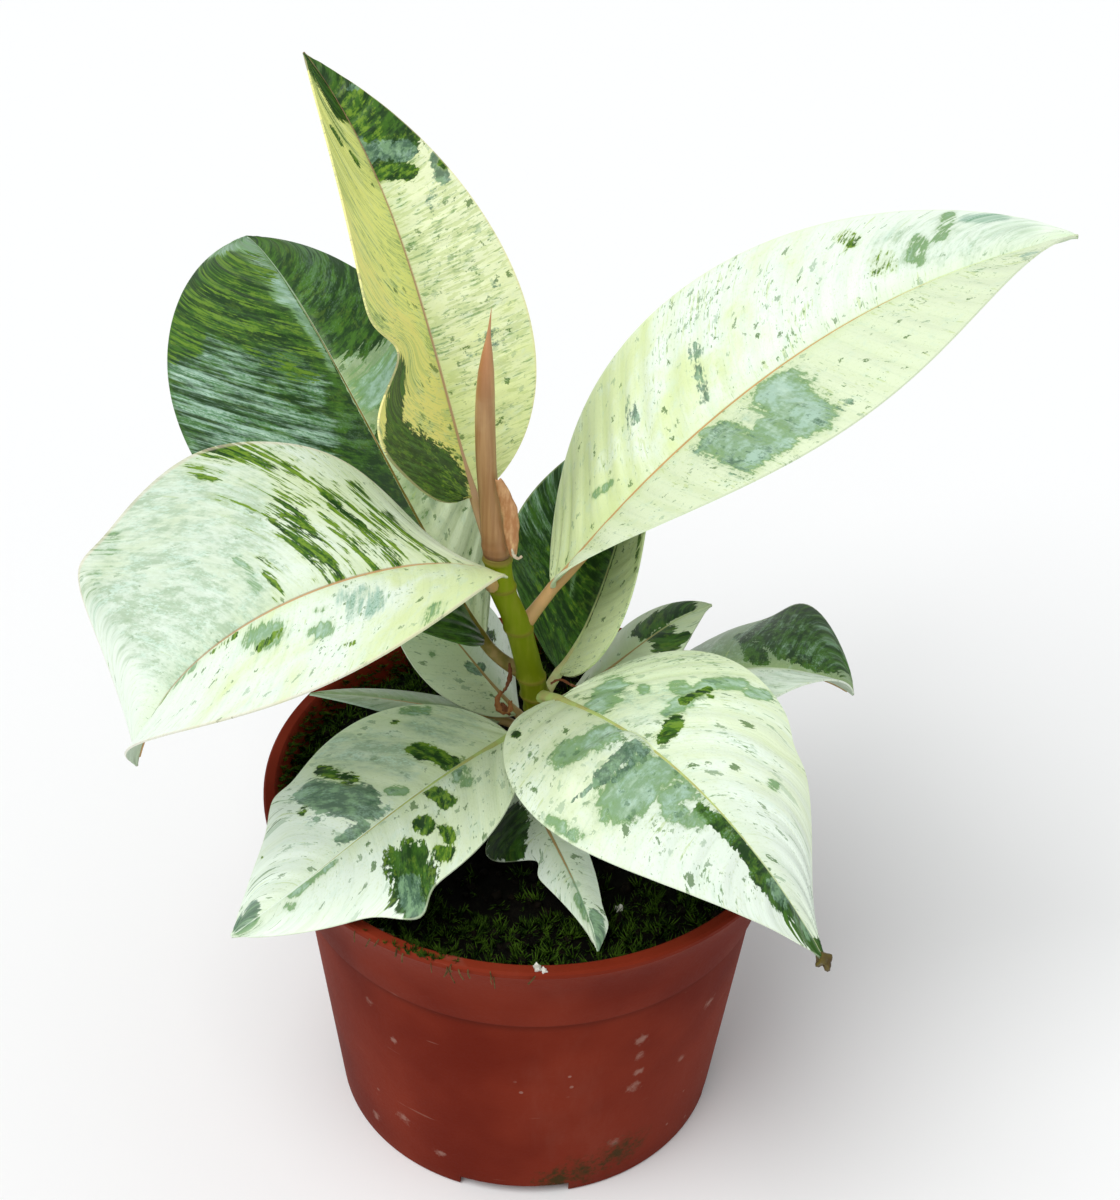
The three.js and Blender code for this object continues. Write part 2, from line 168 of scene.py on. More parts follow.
def rod(points, radii, sides=3):  # a round rod through points as a bmesh, with closed ends
    curve = bpy.data.curves.new("rod", "CURVE")
    curve.dimensions = "3D"
    curve.bevel_depth = 1
    curve.bevel_resolution = sides
    curve.use_fill_caps = True
    spline = curve.splines.new("POLY")
    spline.points.add(len(points) - 1)
    for knot, point, radius in zip(spline.points, points, radii):
        knot.co = (*point, 1)
        knot.radius = radius
    holder = bpy.data.objects.new("rod", curve)
    scene.collection.objects.link(holder)
    graph = bpy.context.evaluated_depsgraph_get()
    mesh = bpy.data.meshes.new_from_object(holder.evaluated_get(graph))
    bm = bmesh.new()
    bm.from_mesh(mesh)
    bmesh.ops.remove_doubles(bm, verts=bm.verts, dist=1e-5)
    bpy.data.objects.remove(holder)
    bpy.data.curves.remove(curve)
    bpy.data.meshes.remove(mesh)
    return bm


def addTo(bm, other, materialIndex=0):  # copies another bmesh into bm and frees it
    for face in other.faces:
        face.material_index = materialIndex
    mesh = bpy.data.meshes.new("part")
    other.to_mesh(mesh)
    other.free()
    bm.from_mesh(mesh)
    bpy.data.meshes.remove(mesh)


# Camera and studio

view = {
    "target": (4.6, 0, 137.7), "distance": 462, "elevation": 36.7, "roll": 1.9,
    "lens": 66, "sensor": 36,
}


def addCamera():
    rise = math.radians(view["elevation"])
    roll = math.radians(view["roll"])
    forward = Vector((0, math.cos(rise), -math.sin(rise)))
    level = Vector((1, 0, 0))
    upward = level.cross(forward)
    right = level * math.cos(roll) + upward * math.sin(roll)
    top = upward * math.cos(roll) - level * math.sin(roll)
    data = bpy.data.cameras.new("camera")
    data.lens = view["lens"]
    data.sensor_width = view["sensor"]
    data.clip_start = 0.01
    camera = bpy.data.objects.new("camera", data)
    turn = Matrix((right, top, -forward)).transposed().to_4x4()
    place = (Vector(view["target"]) - forward * view["distance"]) * mm
    camera.matrix_world = Matrix.Translation(place) @ turn
    scene.collection.objects.link(camera)
    scene.camera = camera


studio = {
    "floorSize": 20000, "floorColour": (0.92, 0.92, 0.92), "floorRoughness": 0.9,
    "skyColour": (0.97, 0.99, 1.0), "skyStrength": 0.52,
    "sunFrom": (-0.36, -0.34, 0.87), "sunStrength": 2.1, "sunWidth": 46,
}


def addStudio():
    shade = Shade("floor")
    floorMaterial = shade.finish((*studio["floorColour"], 1), studio["floorRoughness"])
    bm = bmesh.new()
    bmesh.ops.create_grid(bm, x_segments=1, y_segments=1, size=studio["floorSize"] / 2 * mm)
    mesh = bpy.data.meshes.new("floor")
    bm.to_mesh(mesh)
    bm.free()
    mesh.materials.append(floorMaterial)
    floor = bpy.data.objects.new("floor", mesh)
    scene.collection.objects.link(floor)
    data = bpy.data.lights.new("sun", "SUN")
    data.energy = studio["sunStrength"]
    data.angle = math.radians(studio["sunWidth"])
    sun = bpy.data.objects.new("sun", data)
    sun.matrix_world = Vector(studio["sunFrom"]).to_track_quat("Z", "Y").to_matrix().to_4x4()
    scene.collection.objects.link(sun)
    world = bpy.data.worlds.new("studio")
    world.use_nodes = True
    sky = world.node_tree.nodes["Background"]
    sky.inputs["Color"].default_value = (*studio["skyColour"], 1)
    sky.inputs["Strength"].default_value = studio["skyStrength"]
    scene.world = world


addCamera()
addStudio()
print("camera and studio ready")


# Stem

stem = {
    "foot": (5, 4, 78), "top": 146, "lean": 0.14, "leanGrowth": 0.0009, "kink": (137.5, 1.3, 6.5),
    "footRadius": 3.3, "topRadius": 3.05, "depth": 20,
    "ring": 0.25, "ringReach": 1.4, "collar": 0.22, "collarReach": 0.45,
    "scars": (95, 101, 109, 114, 127, 138), "scarColour": (0.23, 0.17, 0.03),
    "bark": (0.105, 0.110, 0.001), "youngBark": (0.205, 0.275, 0.002), "streaks": (0.26, 0.29, 0.02),
    "cuff": (0.20, 0.13, 0.04),
}
bud = {
    # (height, radius) above the stem
    "outline": ((0, 2.9), (2, 2.85), (6.5, 2.6), (14, 2.15), (24, 2.15), (33, 2.05), (39, 1.9),
                (44, 1.6), (48, 1.1), (51, 0.6), (53.7, 0.3)),
    "lean": 0.15, "back": 0.0021, "tipLength": 5, "overlap": 0.05,
    "seam": 0.12, "seamHeight": 2.2, "seamReach": 0.7,
    "skin": (0.37, 0.185, 0.078), "pale": (0.52, 0.30, 0.14), "red": (0.60, 0.25, 0.11),
    "low": (0.27, 0.12, 0.045), "foot": (0.13, 0.06, 0.02), "paintedHighlight": (0.62, 0.42, 0.24),
}

# Where each leaf is and what shape it has. node: height of its stalk on the stem. base: where the blade
# starts. heading, pitch and roll: the midrib's direction and the blade's tilt in degrees, at the base,
# on the way and at the tip. ends: how slowly a half widens from its base and from its tip. fold: how
# steeply it rises beside the midrib. curl: how much less by the margin. bumps: (place, share, reach)
# where it is wider. lean: how far the side veins run forward, where it isn't the usual. droop: degrees
# that a half hangs at its base. root: where round the stem the stalk starts. meet: where it joins the
# midrib. sweep: how long it runs in line with the midrib.
leafShapes = {
    "leaf_1": {
        "node": 145, "stalk": 1.1, "base": (-14, 8, 158), "length": 96,
        "heading": (130, 124, 148), "pitch": (63, 70, 40), "roll": (-5, 1, -17),
        "left": {"width": 26.8, "ends": (0.46, 0.94), "fold": (28, 38, 27), "curl": (-7, -17, -6),
                 "bumps": ((0.22, 0.25, 0.11), (0.36, -0.43, 0.06)), "lean": 0.9},
        "right": {"width": 20.8, "ends": (0.61, 1.15), "fold": (17, 23, 21), "curl": (5, -1, 1),
                  "lean": 0.1},
    },
    "leaf_2": {
        "node": 114, "stalk": 1.4, "base": (-12, 10, 119), "length": 119,
        "heading": (154, 118, 118), "pitch": (57, 46, -12), "roll": (12, -4, -1),
        "left": {"width": 41.2, "ends": (0.56, 0.77), "fold": (34, 8, 18), "curl": (15, 39, 31)},
        "right": {"width": 27.1, "ends": (0.58, 0.9), "fold": (10, 10, 14), "curl": (25, 25, 21)},
    },
    "leaf_3": {
        "node": 138, "root": 205, "meet": 0.06, "sweep": 0.1, "stalk": 1.2, "base": (-7, -2, 145),
        "length": 105,
        "heading": (221, 198, 175), "pitch": (42, -24, -79), "roll": (41, -48, 10),
        "left": {"width": 29.2, "ends": (0.63, 0.95), "fold": (20, 9, 21), "curl": (0, 11, -1),
                 "bumps": ((0, -0.97, 0.12),), "droop": 50, "lean": 0.4},
        "right": {"width": 33, "ends": (1.15, 0.94), "fold": (15, 48, 34), "curl": (14, -18, -5),
                  "bumps": ((0.51, 0.04, 0.08), (0.79, 0.22, 0.07)), "lean": 0.7},
    },
    "leaf_4": {
        "node": 127, "stalk": 1.4, "base": (3, 8, 135), "length": 138,
        "heading": (19, 41, 7), "pitch": (55, 21, 10), "roll": (-21, 15, -8),
        "left": {"width": 32.4, "ends": (0.56, 0.79), "fold": (21, 18, 26), "curl": (16, 20, 12)},
        "right": {"width": 33.7, "ends": (0.69, 0.75), "fold": (25, 6, 27), "curl": (0, 19, -2),
                  "lean": 0.15},
    },
    "leaf_5": {
        "node": 105, "stalk": 1.2, "base": (5, 12, 109), "length": 63,
        "heading": (31, 66, 62), "pitch": (50, 76, 51), "roll": (-5, -13, -20),
        "left": {"width": 25.7, "ends": (0.55, 0.92), "fold": (17, 25, 19), "curl": (15, 6, 13)},
        "right": {"width": 20.5, "ends": (0.56, 0.89), "fold": (25, 37, 36), "curl": (9, -3, -2)},
    },
    "leaf_6": {
        "node": 109, "stalk": 1.3, "base": (5, -3, 113), "length": 89,
        "heading": (-49, -54, -44), "pitch": (22, -1, -48), "roll": (-1, 23, -27),
        "left": {"width": 29.7, "ends": (0.56, 1.08), "fold": (18, 8, 1), "curl": (12, 22, 29),
                 "bumps": ((0.54, -0.05, 0.05),), "lean": 0.9},
        "right": {"width": 29.5, "ends": (0.53, 1.03), "fold": (18, -1, 12), "curl": (12, 30, 18),
                  "lean": 0.3},
    },
    "leaf_7": {
        "node": 101, "stalk": 1.2, "base": (-5, -5, 104), "length": 74,
        "heading": (217, 226, 209), "pitch": (-3, -20, -25), "roll": (2, -7, 0),
        "left": {"width": 22.2, "ends": (0.63, 0.94), "fold": (18, 10, 9), "curl": (13, 20, 21),
                 "bumps": ((0.59, 0.29, 0.06),)},
        "right": {"width": 23.5, "ends": (0.6, 0.94), "fold": (19, 15, 11), "curl": (12, 15, 20),
                  "bumps": ((0.67, 0.13, 0.06),), "lean": 0.7},
    },
    "leaf_8": {
        "node": 95, "stalk": 1.1, "base": (-4, 9, 99), "length": 48,
        "heading": (152, 129, 149), "pitch": (36, 36, 6), "roll": (12, -1, 11),
        "left": {"width": 14.1, "ends": (0.66, 0.92), "fold": (11, 7, 21), "curl": (31, 29, 10)},
        "right": {"width": 17.2, "ends": (0.6, 0.83), "fold": (-5, 5, 8), "curl": (33, 22, 20)},
    },
    "leaf_9": {
        "node": 91, "stalk": 1.1, "base": (-8, 9, 97), "length": 43,
        "heading": (182, 176, 182), "pitch": (13, 12, -3), "roll": (6, 11, 12),
        "left": {"width": 8.9, "ends": (0.59, 0.88), "fold": (8, 11, 15), "curl": (12, 9, 5)},
        "right": {"width": 9.4, "ends": (0.6, 0.85), "fold": (-3, -5, -3), "curl": (21, 23, 21)},
    },
    "leaf_10": {
        "node": 101, "stalk": 1.1, "base": (7, 9, 104), "length": 40,
        "heading": (22, 49, 26), "pitch": (24, 27, 1), "roll": (-9, -5, 0),
        "left": {"width": 11.5, "ends": (0.62, 0.75), "fold": (-10, -6, 5), "curl": (34, 31, 19)},
        "right": {"width": 12, "ends": (0.58, 1.06), "fold": (10, 6, 15), "curl": (20, 23, 15)},
    },
    "leaf_11": {
        "node": 97, "stalk": 1.1, "base": (8, 7, 101), "length": 66,
        "heading": (9, 10, -5), "pitch": (12, 38, -40), "roll": (-18, -11, -23),
        "left": {"width": 27.1, "ends": (0.67, 0.68), "fold": (-1, 5, 37), "curl": (51, 45, 13),
                 "bumps": ((0.87, 0.67, 0.1),), "lean": 0.4},
        "right": {"width": 22.1, "ends": (0.61, 0.92), "fold": (-6, -11, 27), "curl": (26, 31, -7),
                  "lean": 0.5},
    },
    "leaf_12": {
        "node": 86, "stalk": 1.1, "base": (-1, -1, 89), "length": 51,
        "heading": (-84, -56, -74), "pitch": (6, 3, -30), "roll": (11, 8, -5),
        "left": {"width": 6.2, "ends": (0.49, 0.73), "fold": (5, 2, 2), "curl": (15, 18, 18),
                 "bumps": ((0.91, 0.51, 0.06),), "lean": 0.5},
        "right": {"width": 10.1, "ends": (0.31, 1.13), "fold": (-6, -6, 9), "curl": (31, 31, 16),
                  "bumps": ((0.33, 0.51, 0.13), (0.5, -0.43, 0.06)), "lean": 0.5},
    },
}

colours = {
    "butter": (0.72, 0.83, 0.45), "cream": (0.77, 0.87, 0.61), "white": (0.84, 0.94, 0.82),
    "mint": (0.60, 0.78, 0.64), "lime": (0.50, 0.62, 0.20), "lemon": (0.80, 0.89, 0.42),
    "snow": (0.88, 0.95, 0.62), "yellow": (0.93, 0.97, 0.28), "honey": (0.97, 0.90, 0.27),
    "amber": (0.85, 0.74, 0.40), "ash": (0.42, 0.56, 0.38), "grey": (0.22, 0.38, 0.21),
    "blue": (0.38, 0.57, 0.46), "slate": (0.070, 0.150, 0.090), "green": (0.055, 0.155, 0.014),
    "spring": (0.20, 0.34, 0.028), "dark": (0.014, 0.050, 0.008), "pink": (0.52, 0.33, 0.20),
    "blush": (0.80, 0.66, 0.52), "salmon": (0.62, 0.36, 0.15), "tan": (0.48, 0.32, 0.13),
    # painted shade: the stone tone, like shade below, is a pale ground made darker for the low leaves
    # that lie under the others
    "olive": (0.16, 0.13, 0.015), "sage": (0.55, 0.66, 0.30), "stone": (0.62, 0.70, 0.50),
    "shade": (0.24, 0.35, 0.19), "brown": (0.06, 0.035, 0.015), "rim green": (0.17, 0.33, 0.10),
    "teal": (0.13, 0.31, 0.18),
}

# What each leaf looks like, where it isn't the usual. ground and second: the pale colours of the left
# and right half, near the base and towards the tip. flecks: how many dots. frost: pale flecks in the
# dark parts. streaks: how far the marks are drawn out along the side veins. dashes: how many short
# strokes. waves: height of the folds between the veins. fresh: how much light green there is in the
# dark parts. tip: the tone of a dry tip. lump: the radius of a dry lump on it.
# Each mark is (tone, half width in mm, cover, place, place ...): a path of places on the blade, as
# shares of its length and of the half's width. Cover 1 is solid, 0 is torn to shreds, and less leaves a
# few bits. Each bulge is (side, half width in mm, height in mm, place, place ...).
usualLook = {"dashes": 0.3, "fresh": 0.3, "flecks": 0.6, "frost": 0.1, "streaks": 0.2, "waves": 0.1}
leafLooks = {
    "leaf_1": {
        "ground": ("honey", "lemon"), "second": ("yellow", "snow"), "rib": "pink", "edge": "amber",
        "stalk": "pink", "dashes": 1.8, "fresh": 0.5, "flecks": 0.8, "streaks": 0.3,
        "left": (
            ("dark", 2.6, 1, (0.99, 0.3), (0.86, 0.2)), ("dark", 7, 1, (0.05, 0.5), (0.18, 0.82)),
            ("dark", 4.2, 1, (0.2, 0.85), (0.33, 0.93)),
            ("green", 2.6, 0.2, (0.03, 0.55), (0.07, 0.45)),
            ("green", 0.8, 0.3, (0.83, 0.7), (0.79, 0.55)),
            ("green", 0.7, 0.3, (0.77, 0.4), (0.74, 0.3)),
        ),
        "right": (
            ("dark", 13.5, 1, (0.84, 0.3), (0.98, 0.3)), ("green", 2.6, 0.3, (0.8, 0.35), (0.86, 0.5)),
            ("green", 1.6, 0.4, (0.71, 0.08), (0.69, 0.5)), ("green", 1.2, 0.5, (0.68, 1)),
            ("slate", 2.2, 0.4, (0.78, 0.15), (0.76, 0.1)),
            ("slate", 2, 0.4, (0.745, 0.35), (0.73, 0.65)), ("slate", 1.5, 0.3, (0.88, 0.75)),
            ("slate", 1.6, 0.4, (0.66, 0.85), (0.69, 0.95)),
            ("slate", 1.8, -0.2, (0.62, 0.6), (0.65, 0.72)), ("slate", 1.4, -0.2, (0.6, 0.55)),
            ("slate", 2.4, -0.3, (0.52, 0.5), (0.53, 0.7)), ("slate", 1.1, 0, (0.42, 0.78)),
            ("slate", 2.2, -0.1, (0.31, 0.4), (0.315, 0.6)), ("grey", 1.4, -0.2, (0.165, 0.6)),
        ),
    },
    "leaf_2": {
        "ground": ("ash", "cream"), "second": ("ash", "shade"), "rib": "ash", "edge": "green",
        "stalk": "olive", "dashes": 0.2, "fresh": 0.2, "flecks": 0.9, "frost": 0.12, "streaks": 0.85,
        "waves": 0.25,
        "left": (
            ("dark", 60, 1, (0.4, 0.5), (0.6, 0.5)),
            ("grey", 3.6, 1, (0.99, 0.3), (0.9, 0.16), (0.75, 0.08)),
            ("grey", 3, 1, (0.95, 0.5), (0.93, 0.75)), ("grey", 2, 1, (0.75, 0.06), (0.58, 0.01)),
            ("green", 7, 0, (0.86, 0.4), (0.74, 0.5), (0.62, 0.25)),
            ("green", 4, 0, (0.8, 0.85), (0.7, 0.9)), ("teal", 7, -0.1, (0.68, 0.9), (0.66, 0.4)),
            ("teal", 10, 0.1, (0.6, 0.95), (0.56, 0.4)), ("teal", 9, 0.15, (0.5, 0.95), (0.47, 0.45)),
            ("teal", 7, 0.1, (0.38, 0.85), (0.38, 0.5)),
        ),
        "right": (
            ("dark", 24, 1, (0.78, 0.5), (0.97, 0.5)), ("grey", 4.6, 1, (0.5, 0.15), (0.545, 0.75)),
            ("teal", 4, -0.6, (0.8, 0.6), (0.66, 0.4)), ("grey", 2, 0.2, (0.3, 0.3)),
            ("dark", 2, 0.6, (0.42, 0.08)),
        ),
    },
    "leaf_3": {
        "ground": ("butter", "cream"), "second": ("white", "white"), "rib": "pink", "edge": "blush",
        "stalk": "salmon", "dashes": 0.35, "fresh": 0.5, "frost": 0, "streaks": 0.9, "waves": 0.12,
        "left": (
            ("grey", 3.3, 0.7, (0.56, 0.2), (0.535, 0.3)),
            ("green", 1.1, 0.1, (0.56, 0.35), (0.52, 0.3)),
            ("grey", 1.8, 0.4, (0.455, 0.45), (0.45, 0.5)), ("green", 1, 0.3, (0.42, 0.74)),
            ("teal", 3.8, 0.4, (0.375, 0.25), (0.365, 0.45)), ("grey", 1.1, 0.2, (0.44, 0.25)),
            ("grey", 1.4, 0.1, (0.29, 0.85), (0.31, 0.97)),
            ("green", 0.8, 0.1, (0.6, 0.06), (0.66, 0.07)), ("grey", 1, 0.1, (0.7, 0.07), (0.78, 0.08)),
            ("green", 1, 0.1, (0.8, 0.12), (0.84, 0.2)),
        ),
        "right": (
            ("green", 2, 0.1, (0.495, 0.97), (0.44, 0.9), (0.41, 0.78)),
            ("green", 1.4, 0, (0.405, 0.82), (0.385, 0.58)), ("green", 1, 0, (0.43, 0.7), (0.41, 0.55)),
            ("green", 1.3, 0, (0.36, 0.78), (0.345, 0.55)), ("green", 1, 0, (0.37, 0.5), (0.35, 0.2)),
            ("green", 2.2, 0.1, (0.345, 0.68), (0.325, 0.42), (0.31, 0.06)),
            ("green", 1.8, 0.1, (0.3, 0.75), (0.28, 0.45), (0.27, 0.08)),
            ("green", 2.6, 0.1, (0.44, 0.55), (0.425, 0.38), (0.4, 0.1)),
            ("green", 2, 0.1, (0.42, 0.25), (0.39, 0.03)),
            ("green", 1.8, 0.1, (0.25, 0.55), (0.22, 0.3), (0.17, 0.06)),
            ("green", 1.1, 0, (0.285, 0.35), (0.265, 0.05)),
            ("green", 1.2, 0, (0.53, 0.95), (0.51, 0.85)),
            ("grey", 0.9, 0, (0.535, 0.35), (0.53, 0.15)), ("green", 0.9, 0, (0.5, 0.3), (0.5, 0.06)),
            ("green", 14, -0.4, (0.38, 0.7), (0.33, 0.3)),
            ("grey", 2.5, -0.1, (0.78, 0.9), (0.7, 0.95)), ("mist", 12, 0.9, (0.6, 0.85), (0.72, 0.6)),
            ("mist", 14, 0.7, (0.58, 0.4), (0.68, 0.3)), ("mist", 6, 0.5, (0.5, 0.6), (0.47, 0.85)),
        ),
    },
    "leaf_4": {
        "ground": ("butter", "cream"), "second": ("white", "cream"), "rib": "butter", "edge": "cream",
        "stalk": "salmon", "dashes": 0.7, "fresh": 0.5, "flecks": 0.65, "frost": 0.2, "streaks": 0.45,
        "waves": 0.4,
        "left": (
            ("slate", 1.5, 0.1, (0.415, 0.52), (0.37, 0.17)),
            ("green", 0.9, -0.1, (0.425, 0.3), (0.405, 0.06)),
            ("slate", 1.3, 0, (0.285, 0.6), (0.27, 0.45)),
            ("green", 1.7, -0.1, (0.69, 0.78), (0.7, 0.7)),
            ("green", 2.2, -0.15, (0.71, 0.3), (0.72, 0.42)),
            ("grey", 1.8, 0.2, (0.76, 0.28), (0.78, 0.5)),
            ("grey", 1.5, 0.2, (0.81, 0.5), (0.84, 0.85)), ("teal", 1.8, 0.4, (0.86, 0.8), (0.91, 0.9)),
            ("grey", 1, 0.2, (0.15, 0.3), (0.18, 0.25)), ("mist", 6, 0.25, (0.75, 0.5), (0.9, 0.5)),
        ),
        "right": (
            ("grey", 5, 0.9, (0.345, 0.25), (0.36, 0.75)),
            ("grey", 1.4, 0.4, (0.335, 0.06), (0.35, 0.15)),
            ("grey", 6.3, 0.9, (0.455, 0.22), (0.45, 0.72)), ("grey", 3, 0.5, (0.4, 0.5), (0.4, 0.8)),
            ("mist", 3, 1.3, (0.47, 0.15), (0.455, 0.4)), ("mist", 1.6, 0.8, (0.395, 0.3), (0.41, 0.7)),
            ("slate", 4.5, -0.12, (0.34, 0.25), (0.35, 0.7)),
            ("slate", 3.5, -0.15, (0.45, 0.65), (0.49, 0.8)),
            ("teal", 1.2, 0.4, (0.885, 0.72), (0.9, 0.92)),
        ),
    },
    "leaf_5": {
        "ground": ("sage", "butter"), "second": ("sage", "butter"), "rib": "sage", "edge": "sage",
        "stalk": "sage", "dashes": 0.5, "fresh": 0.25, "flecks": 0.9, "streaks": 0.5, "waves": 0.12,
        "left": (
            ("dark", 60, 1, (0.5, 0.5)), ("teal", 6, 0, (0.7, 0.75), (0.5, 0.8)),
            ("green", 6, -0.1, (0.4, 0.4), (0.2, 0.4)), ("grey", 0.7, 0.5, (0.36, 0.3), (0.26, 0.25)),
        ),
        "right": (
            ("dark", 1.2, 0.5, (0.2, 0.02), (0.5, 0.02)), ("green", 1.1, 0.2, (0.5, 0.92), (0.6, 0.85)),
        ),
    },
    "leaf_6": {
        "ground": ("cream", "cream"), "second": ("white", "white"), "rib": "butter", "edge": "cream",
        "stalk": "lime", "dashes": 0.5, "flecks": 1, "frost": 0.3, "streaks": 0.15, "waves": 0.3,
        "tip": "brown", "lump": 1.5, "bulges": (("right", 6, 2, (0.31, 0.15), (0.325, 0.55)),),
        "left": (
            ("grey", 3.8, 0.5, (0.13, 0.12), (0.11, 0.35)), ("grey", 1.6, 0.3, (0.19, 0.4)),
            ("grey", 2, 0.3, (0.25, 0.55), (0.28, 0.5)), ("mist", 5, 0.6, (0.22, 0.25), (0.26, 0.35)),
            ("grey", 1.8, 0.5, (0.3, 0.3), (0.3, 0.7), (0.34, 0.85)),
            ("green", 1, 0.4, (0.3, 0.45), (0.31, 0.65)),
            ("green", 2.1, 0.5, (0.35, 0.12), (0.335, 0.28)), ("green", 0.8, 0.3, (0.335, 0.6)),
            ("grey", 1.4, 0.4, (0.38, 0.85), (0.4, 0.95)), ("grey", 1.4, 0.15, (0.6, 0.6)),
            ("dark", 1.5, 1, (0.96, 0.3), (1, 0.3)),
        ),
        "right": (
            ("grey", 4.5, 0.6, (0.25, 0.15), (0.25, 0.5)),
            ("slate", 1.5, 0.6, (0.335, 0.12), (0.365, 0.5)),
            ("slate", 0.4, 1, (0.36, 0.05), (0.385, 0.4), (0.36, 0.75)),
            ("grey", 5.5, 0.7, (0.42, 0.12), (0.44, 0.5)), ("grey", 3.3, 0.6, (0.5, 0.12), (0.5, 0.25)),
            ("grey", 2.6, 0.4, (0.54, 0.33), (0.58, 0.25)), ("green", 1.2, 0.4, (0.1, 0.85)),
            ("grey", 1.8, 0.3, (0.37, 0.95), (0.44, 0.92)),
            ("dark", 1.9, 0.6, (0.57, 0.15), (0.62, 0.12)),
            ("dark", 2.3, 1, (0.62, 0.08), (0.78, 0.12)), ("dark", 3.6, 1, (0.78, 0.15), (0.98, 0.5)),
            ("slate", 1.8, 0.2, (0.8, 0.12), (0.92, 0.3)),
        ),
    },
    "leaf_7": {
        "ground": ("cream", "cream"), "second": ("white", "white"), "rib": "white", "edge": "cream",
        "stalk": "lime", "dashes": 0.4, "fresh": 0.5, "flecks": 0.9, "frost": 0.2, "streaks": 0.15,
        "waves": 0.25, "bulges": (("right", 6, 1.1, (0.54, 0.6), (0.5, 0.3)),),
        "left": (
            ("grey", 2, 0.3, (0.2, 0.12), (0.22, 0.3)), ("green", 1.8, 0.5, (0.31, 0.12), (0.3, 0.38)),
            ("green", 1.9, 0.4, (0.4, 0.35), (0.4, 0.45)),
            ("green", 1.5, 0.4, (0.37, 0.6), (0.38, 0.7)), ("green", 2.3, 0.5, (0.42, 0.78)),
            ("green", 1.1, 0.3, (0.46, 0.45)), ("dark", 4.8, 1, (0.5, 0.6), (0.57, 0.88)),
            ("slate", 2.3, 0.4, (0.55, 0.72), (0.585, 0.9)),
            ("grey", 1.3, 0.4, (0.66, 0.04), (0.8, 0.07)), ("grey", 1.2, 0.3, (0.82, 0.3)),
            ("grey", 1.4, 0.3, (0.92, 0.2), (0.97, 0.2)),
        ),
        "right": (
            ("green", 2.3, 0.6, (0.2, 0.06), (0.25, 0.38)),
            ("grey", 1.4, 0.4, (0.15, 0.88), (0.2, 0.92)), ("green", 1, 0.3, (0.245, 0.8)),
            ("mist", 4, 1, (0.38, 0.85), (0.29, 0.35)), ("mist", 4, 1, (0.43, 0.85), (0.4, 0.7)),
            ("slate", 4.6, 0.6, (0.56, 0.62), (0.48, 0.25)),
            ("green", 1.8, 0.3, (0.5, 0.78), (0.46, 0.5)), ("green", 1.3, 0.3, (0.62, 0.62)),
            ("grey", 1.1, 0.4, (0.4, 0.2), (0.36, 0.1)), ("slate", 1.2, 0.4, (0.52, 0.05), (0.6, 0.1)),
            ("slate", 1.4, 0.3, (0.9, 0.3), (0.97, 0.3)), ("green", 0.6, 0.4, (0.8, 0.9)),
            ("mist", 4, 0.6, (0.12, 0.5), (0.2, 0.6)), ("mist", 3, 0.5, (0.55, 0.7), (0.53, 0.55)),
        ),
    },
    "leaf_8": {
        "ground": ("cream", "white"), "second": ("cream", "white"), "rib": "sage", "edge": "stone",
        "stalk": "tan", "dashes": 0.4, "flecks": 0.9,
        "left": (("slate", 1.6, 0.5, (0.28, 0.05), (0.3, 0.15)), ("grey", 1, 0.3, (0.45, 0.6))),
        "right": (("dark", 4.2, 1, (0.56, 0.3), (0.42, 0.42)), ("slate", 1.4, 0.4, (0.28, 0.05))),
    },
    "leaf_9": {
        "ground": ("stone", "shade"), "second": ("shade", "shade"), "rib": "stone", "edge": "mint",
        "stalk": "tan", "dashes": 0.2, "frost": 0.3, "streaks": 0.3, "waves": 0.05,
        "left": (("grey", 3, 0.1, (0.4, 0.4)),),
        "right": (("grey", 3, 0.1, (0.5, 0.5)),),
    },
    "leaf_10": {
        "ground": ("stone", "stone"), "second": ("stone", "cream"), "rib": "sage", "edge": "stone",
        "stalk": "tan",
        "left": (("dark", 3.2, 1, (0.6, 0.3), (0.86, 0.45)),),
        "right": (
            ("dark", 3, 1, (0.64, 0.1), (0.6, 0.5)), ("dark", 1.5, 0.7, (0.66, 0.7), (0.72, 0.8)),
        ),
    },
    "leaf_11": {
        "ground": ("shade", "stone"), "second": ("shade", "white"), "rib": "stone", "edge": "stone",
        "stalk": "tan", "fresh": 0.2, "frost": 0.25, "streaks": 0.4, "tip": "tan",
        "left": (
            ("dark", 13, 0.8, (0.84, 0.5), (0.9, 0.9)), ("dark", 2.4, 0.3, (0.63, 0.6), (0.66, 0.1)),
            ("teal", 8, -0.1, (0.7, 0.6), (0.88, 0.5)), ("mist", 4, 0.3, (0.5, 0.5)),
        ),
        "right": (("grey", 5, -0.1, (0.4, 0.4)), ("mist", 5, 0.3, (0.6, 0.6), (0.75, 0.6))),
    },
    "leaf_12": {
        "ground": ("white", "white"), "second": ("white", "white"), "rib": "grey", "edge": "cream",
        "stalk": "tan", "flecks": 0.8, "waves": 0.05,
        "left": (("slate", 2, 0.5, (0.86, 0.3), (0.98, 0.4)),),
        "right": (
            ("dark", 3.6, 1, (0.2, 0.45), (0.32, 0.8)), ("dark", 3, 1, (0.28, 0.4), (0.4, 0.7)),
            ("grey", 1, 0.3, (0.75, 0.15), (0.85, 0.15)),
        ),
    },
}

blade = {
    "rowStep": 0.75, "columnStep": 1.0, "thickness": 0.42, "tipHalfWidth": 0.12, "groove": 0.25,
    "grooveReach": 0.8, "quilt": 0.1, "veinRate": 2.1, "veinLean": 0.6, "droopReach": 0.12,
    "foldRate": 0.85, "foldSwing": 0.8, "foldDrift": 0.23,
}
